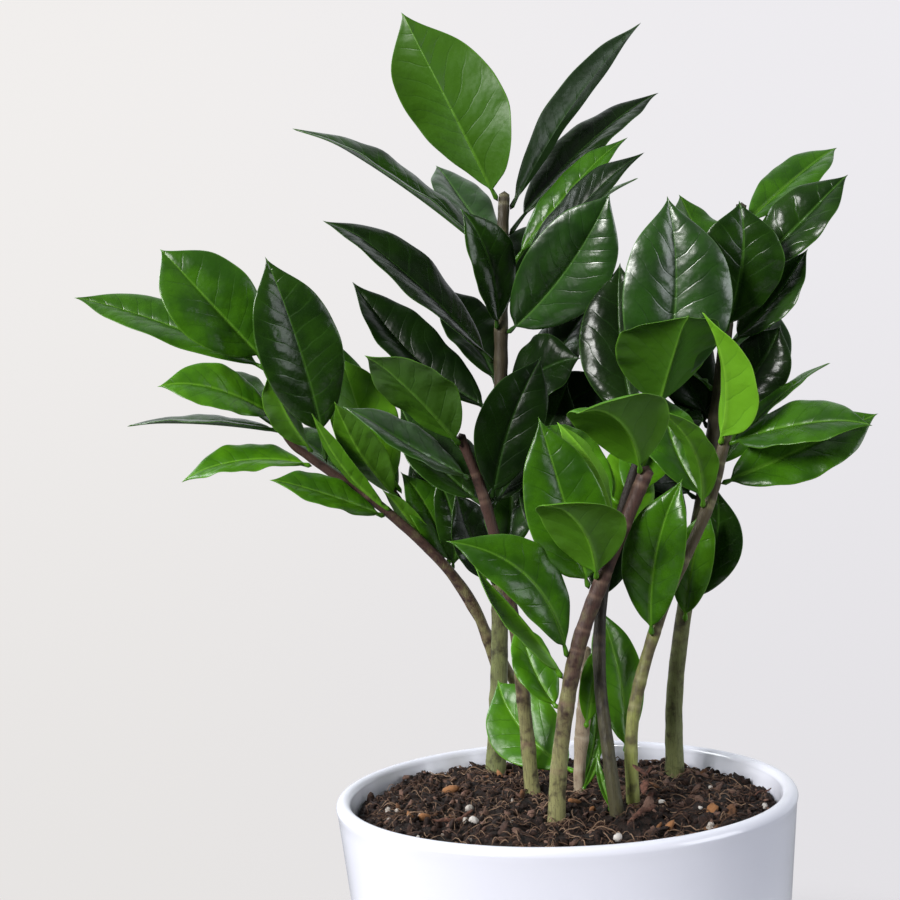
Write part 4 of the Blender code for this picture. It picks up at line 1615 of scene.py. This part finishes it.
    def fibre_skins(self) -> list:
        """Coir fibres: short bent strands that lie over the bed.

        Returns:
            One skin a fibre.
        """
        chance = np.random.default_rng(12)
        made = []
        for start in self.scatter(chance, self.fibres, 4 * MM):
            length = MM * (3.0 + 12.0 * chance.uniform() ** 2)
            turn = chance.uniform(0, 2 * math.pi) + np.cumsum(chance.normal(0, 0.28, 7))
            steps = np.stack([np.cos(turn), np.sin(turn)], axis=-1) * length / 7
            flat = start[:2] + np.vstack([[0, 0], np.cumsum(steps, axis=0)])
            reach = np.linalg.norm(flat, axis=1)
            if reach.max() > self.fibre_limit:
                continue
            lift = MM * (1.1 + 2.2 * chance.uniform() * np.sin(math.pi * np.linspace(0, 1, 8)))
            path = np.column_stack([flat, self.level(flat[:, 0], flat[:, 1]) + lift])
            made.append(self.strand(path, MM * chance.uniform(0.10, 0.26), chance.uniform()))
        return made

    def grain_skins(self, chance: np.random.Generator) -> list:
        """Perlite grains: the scattered ones, then the large ones in their places.

        Args:
            chance: where their randomness comes from.

        Returns:
            One skin a grain.
        """
        made = []
        for centre in self.scatter(chance, self.perlite, 5 * MM):
            size = MM * chance.uniform(0.5, 1.7)
            centre[2] += 0.9 * size
            half = size * chance.uniform(0.8, 1.2, 3)
            made.append(self.lump(chance, centre, half, 0.22, chance.uniform(), 8))
        for x, y, size in self.GRAINS:
            half = MM * size * np.array([1.0, 0.85, 0.8])
            made.append(self.lump(chance, self.resting(x, y, 0.6 * size), half, 0.20, chance.uniform(), 9))
        return made

    def bark_skins(self, chance: np.random.Generator) -> list:
        """Bark chips: the scattered ones, then the large ones in their places.

        Args:
            chance: where their randomness comes from.

        Returns:
            One skin a chip.
        """
        made = []
        for centre in self.scatter(chance, self.chips, 8 * MM):
            size = MM * chance.uniform(1.6, 4.2)
            centre[2] += 0.6 * MM
            half = size * np.array([1.0, chance.uniform(0.35, 0.7), 0.28])
            made.append(self.lump(chance, centre, half, 0.2, chance.uniform(), 9))
        for x, y, size in self.BARKS:
            half = MM * size * np.array([1.0, 0.78, 0.42])
            made.append(self.lump(chance, self.resting(x, y, 1.4), half, 0.16, 0.98, 10))
        return made

    def stick_skins(self) -> list:
        """Sticks: straight from start to end but for a slight sway, and rising a little.

        Returns:
            One skin a stick.
        """
        share = np.linspace(0, 1, 9)
        sway = 0.6 * MM * np.stack([np.sin(9 * share), np.cos(7 * share)], axis=-1)
        made = []
        for start, end, radius in self.STICKS:
            flat = np.outer(1 - share, start) * MM + np.outer(share, end) * MM + sway
            rise = self.level(flat[:, 0], flat[:, 1]) + MM * (1.2 + 3.0 * share)
            made.append(self.strand(np.column_stack([flat, rise]), radius * MM, 0.55, 7))
        return made

    def husk_skins(self, chance: np.random.Generator) -> list:
        """Papery husks about the foot of the right front stem."""
        half = MM * np.array([3.6, 1.7, 0.45])
        return [self.lump(chance, self.resting(x, y, rise), half, 0.22, 0.5, 9) for x, y, rise in self.HUSKS]

    def build(self) -> None:
        """Makes the bed and everything on it."""
        pattern = crumb_group()
        worn = {litter: litter.value.make(pattern) for litter in Litter}
        chance = np.random.default_rng(13)
        add_piece("soil_bed", self.bed(), worn[Litter.PEAT], "potting_soil", "soil")
        heaps = (
            ("soil_crumbs", self.crumb_skins(), Litter.CRUMB, "potting_soil"),
            ("coir_fibres", self.fibre_skins(), Litter.FIBRE, "potting_soil"),
            ("perlite_grains", self.grain_skins(chance), Litter.PERLITE, "potting_soil"),
            ("bark_chips", self.bark_skins(chance), Litter.BARK, "potting_soil"),
            ("dried_husks", self.husk_skins(chance) + self.stick_skins(), Litter.HUSK, "stem_brown"),
        )
        for name, skins, litter, slot in heaps:
            add_piece(name, merged(skins), worn[litter], slot)
            LOG.info("%s: %d", name, len(skins))


# ------------------------------------------------------------------ studio


@dataclass(frozen=True)
class Lamp:
    """A soft box: where it stands, what it faces, its size and its light."""

    name: str
    place: tuple
    aim: tuple
    size: float
    power: float
    colour: tuple

    def build(self) -> None:
        """Hangs the lamp."""
        light = bpy.data.lights.new(self.name, "AREA")
        light.shape = "SQUARE"
        light.size = self.size
        light.energy = self.power
        light.color = self.colour
        lamp = bpy.data.objects.new(self.name, light)
        bpy.context.scene.collection.objects.link(lamp)
        lamp.location = self.place
        lamp.rotation_mode = "QUATERNION"
        lamp.rotation_quaternion = (Vector(self.aim) - Vector(self.place)).to_track_quat("-Z", "Y")


@dataclass
class Studio:
    """The pale floor, the soft lamps and the camera."""

    lens: float = 52.0
    camera_place: tuple = (-0.039, -0.530, 0.274)
    pitch: float = math.radians(1.5)
    roll: float = math.radians(2.9)
    floor_radius: float = 0.6
    floor_sides: int = 96
    floor_gap: float = 0.2 * MM
    floor_depth: float = 4 * MM
    fade: tuple = (0.14, 0.40)
    pale: tuple = (0.60, 0.59, 0.585)
    room_dark: float = 0.03
    room_bright: float = 0.85
    room_above: float = 0.16

    def floor(self) -> None:
        """A pale disc that fades into the surroundings towards its rim."""
        turns = 2 * math.pi * np.arange(self.floor_sides) / self.floor_sides
        reach = self.floor_radius * np.array([0.2, 0.5, 0.8, 1.0])[:, None]
        height = np.full((len(reach), self.floor_sides), -self.floor_gap)
        rings = np.stack([reach * np.cos(turns), reach * np.sin(turns), height], axis=-1)
        under = rings[::-1] - (0, 0, self.floor_depth)
        top, bottom = np.array([0, 0, -self.floor_gap]), np.array([0, 0, -self.floor_gap - self.floor_depth])
        skin = skin_over(np.concatenate([rings, under]), top, bottom)
        mesh = bpy.data.meshes.new("floor")
        mesh.from_pydata(skin.points.tolist(), [], skin.quads.tolist() + skin.tris.tolist())
        floor = bpy.data.objects.new("floor", mesh)
        bpy.context.scene.collection.objects.link(floor)
        material, w, shader = surface("floor_pale")
        reach_here = w.node("ShaderNodeVectorMath", operation="LENGTH")
        w.put(reach_here.inputs[0], w.place())
        shader.inputs["Base Color"].default_value = (*self.pale, 1.0)
        shader.inputs["Roughness"].default_value = 0.9
        clear = w.node("ShaderNodeBsdfTransparent")
        blend = w.node("ShaderNodeMixShader")
        w.put(blend.inputs[0], w.ease(reach_here.outputs["Value"], *self.fade))
        w.put(blend.inputs[1], shader.outputs[0])
        w.put(blend.inputs[2], clear.outputs[0])
        w.put(material.node_tree.nodes["Material Output"].inputs["Surface"], blend.outputs[0])
        mesh.materials.append(material)

    def surroundings(self) -> None:
        """A pale world: one brightness for what is seen and one for what lights the plant."""
        world = bpy.data.worlds.new("pale_room")
        bpy.context.scene.world = world
        world.use_nodes = True
        w = Wiring(world.node_tree)
        way = w.node("ShaderNodeSeparateXYZ")
        w.put(way.inputs[0], w.node("ShaderNodeTexCoord").outputs["Generated"])
        ahead = w.ease(way.outputs[1], -0.35, 0.75, self.room_dark, self.room_bright)
        above = w.ease(way.outputs[2], 0.1, 0.9, 0.0, self.room_above)
        low = w.ease(way.outputs[2], -0.35, 0.05, 0.30, 1.0)
        lit = world.node_tree.nodes["Background"]
        lit.inputs["Color"].default_value = (0.93, 0.96, 1.0, 1.0)
        w.put(lit.inputs["Strength"], w.times(low, w.plus(ahead, above)))
        seen = w.node("ShaderNodeBackground")
        w.put(seen.inputs["Color"], w.mix(w.ease(way.outputs[0], -0.3, 0.3), (0.850, 0.830, 0.818),
                                          (0.822, 0.808, 0.838)))
        w.put(seen.inputs["Strength"], w.ease(way.outputs[2], -0.32, 0.34, 0.94, 1.035))
        blend = w.node("ShaderNodeMixShader")
        w.put(blend.inputs[0], w.node("ShaderNodeLightPath").outputs["Is Camera Ray"])
        w.put(blend.inputs[1], lit.outputs[0])
        w.put(blend.inputs[2], seen.outputs[0])
        w.put(world.node_tree.nodes["World Output"].inputs["Surface"], blend.outputs[0])

    def camera(self) -> None:
        """The camera: level with the leaves, a little pitched up and rolled."""
        ahead = Vector((0.0, math.cos(self.pitch), math.sin(self.pitch)))
        right = Vector((1.0, 0.0, 0.0))
        up = right.cross(ahead)
        turned_right = right * math.cos(self.roll) - up * math.sin(self.roll)
        turned_up = right * math.sin(self.roll) + up * math.cos(self.roll)
        data = bpy.data.cameras.new("camera")
        data.sensor_width = 36.0
        data.lens = self.lens
        data.clip_start = 0.02
        eye = bpy.data.objects.new("camera", data)
        bpy.context.scene.collection.objects.link(eye)
        turn = Matrix((turned_right, turned_up, -ahead)).transposed()
        eye.matrix_world = Matrix.Translation(self.camera_place) @ turn.to_4x4()
        bpy.context.scene.camera = eye

    def build(self) -> None:
        """Sets the whole studio."""
        self.floor()
        self.surroundings()
        self.camera()
        bpy.context.scene.view_settings.view_transform = "Standard"
        lamps = (
            Lamp("key_window", (-1.15, -1.20, 0.95), (0.0, 0.0, 0.25), 0.62, 40.0, (1.0, 0.99, 0.97)),
            Lamp("side_window", (-1.20, 0.45, 1.10), (0.0, 0.0, 0.25), 0.6, 15.0, (0.95, 0.98, 1.0)),
            Lamp("fill_wall", (1.40, -0.60, 0.55), (0.0, 0.0, 0.20), 0.9, 11.0, (0.92, 0.95, 1.0)),
        )
        for lamp in lamps:
            lamp.build()


# ------------------------------------------------------------------ the whole


def main() -> None:
    """Builds the pot, the soil, the stems and the leaflets, and sets the studio."""
    logging.basicConfig(level=logging.INFO, format="%(name)s: %(message)s")
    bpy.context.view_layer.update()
    lines = {n: StemLine.of_node(n) for n in frame["nodes"] if n.startswith("stem_")}
    Pot().build()
    Soil().build()
    Stems(lines).build()
    Foliage(lines).build()
    Studio().build()


if __name__ == "__main__":
    main()
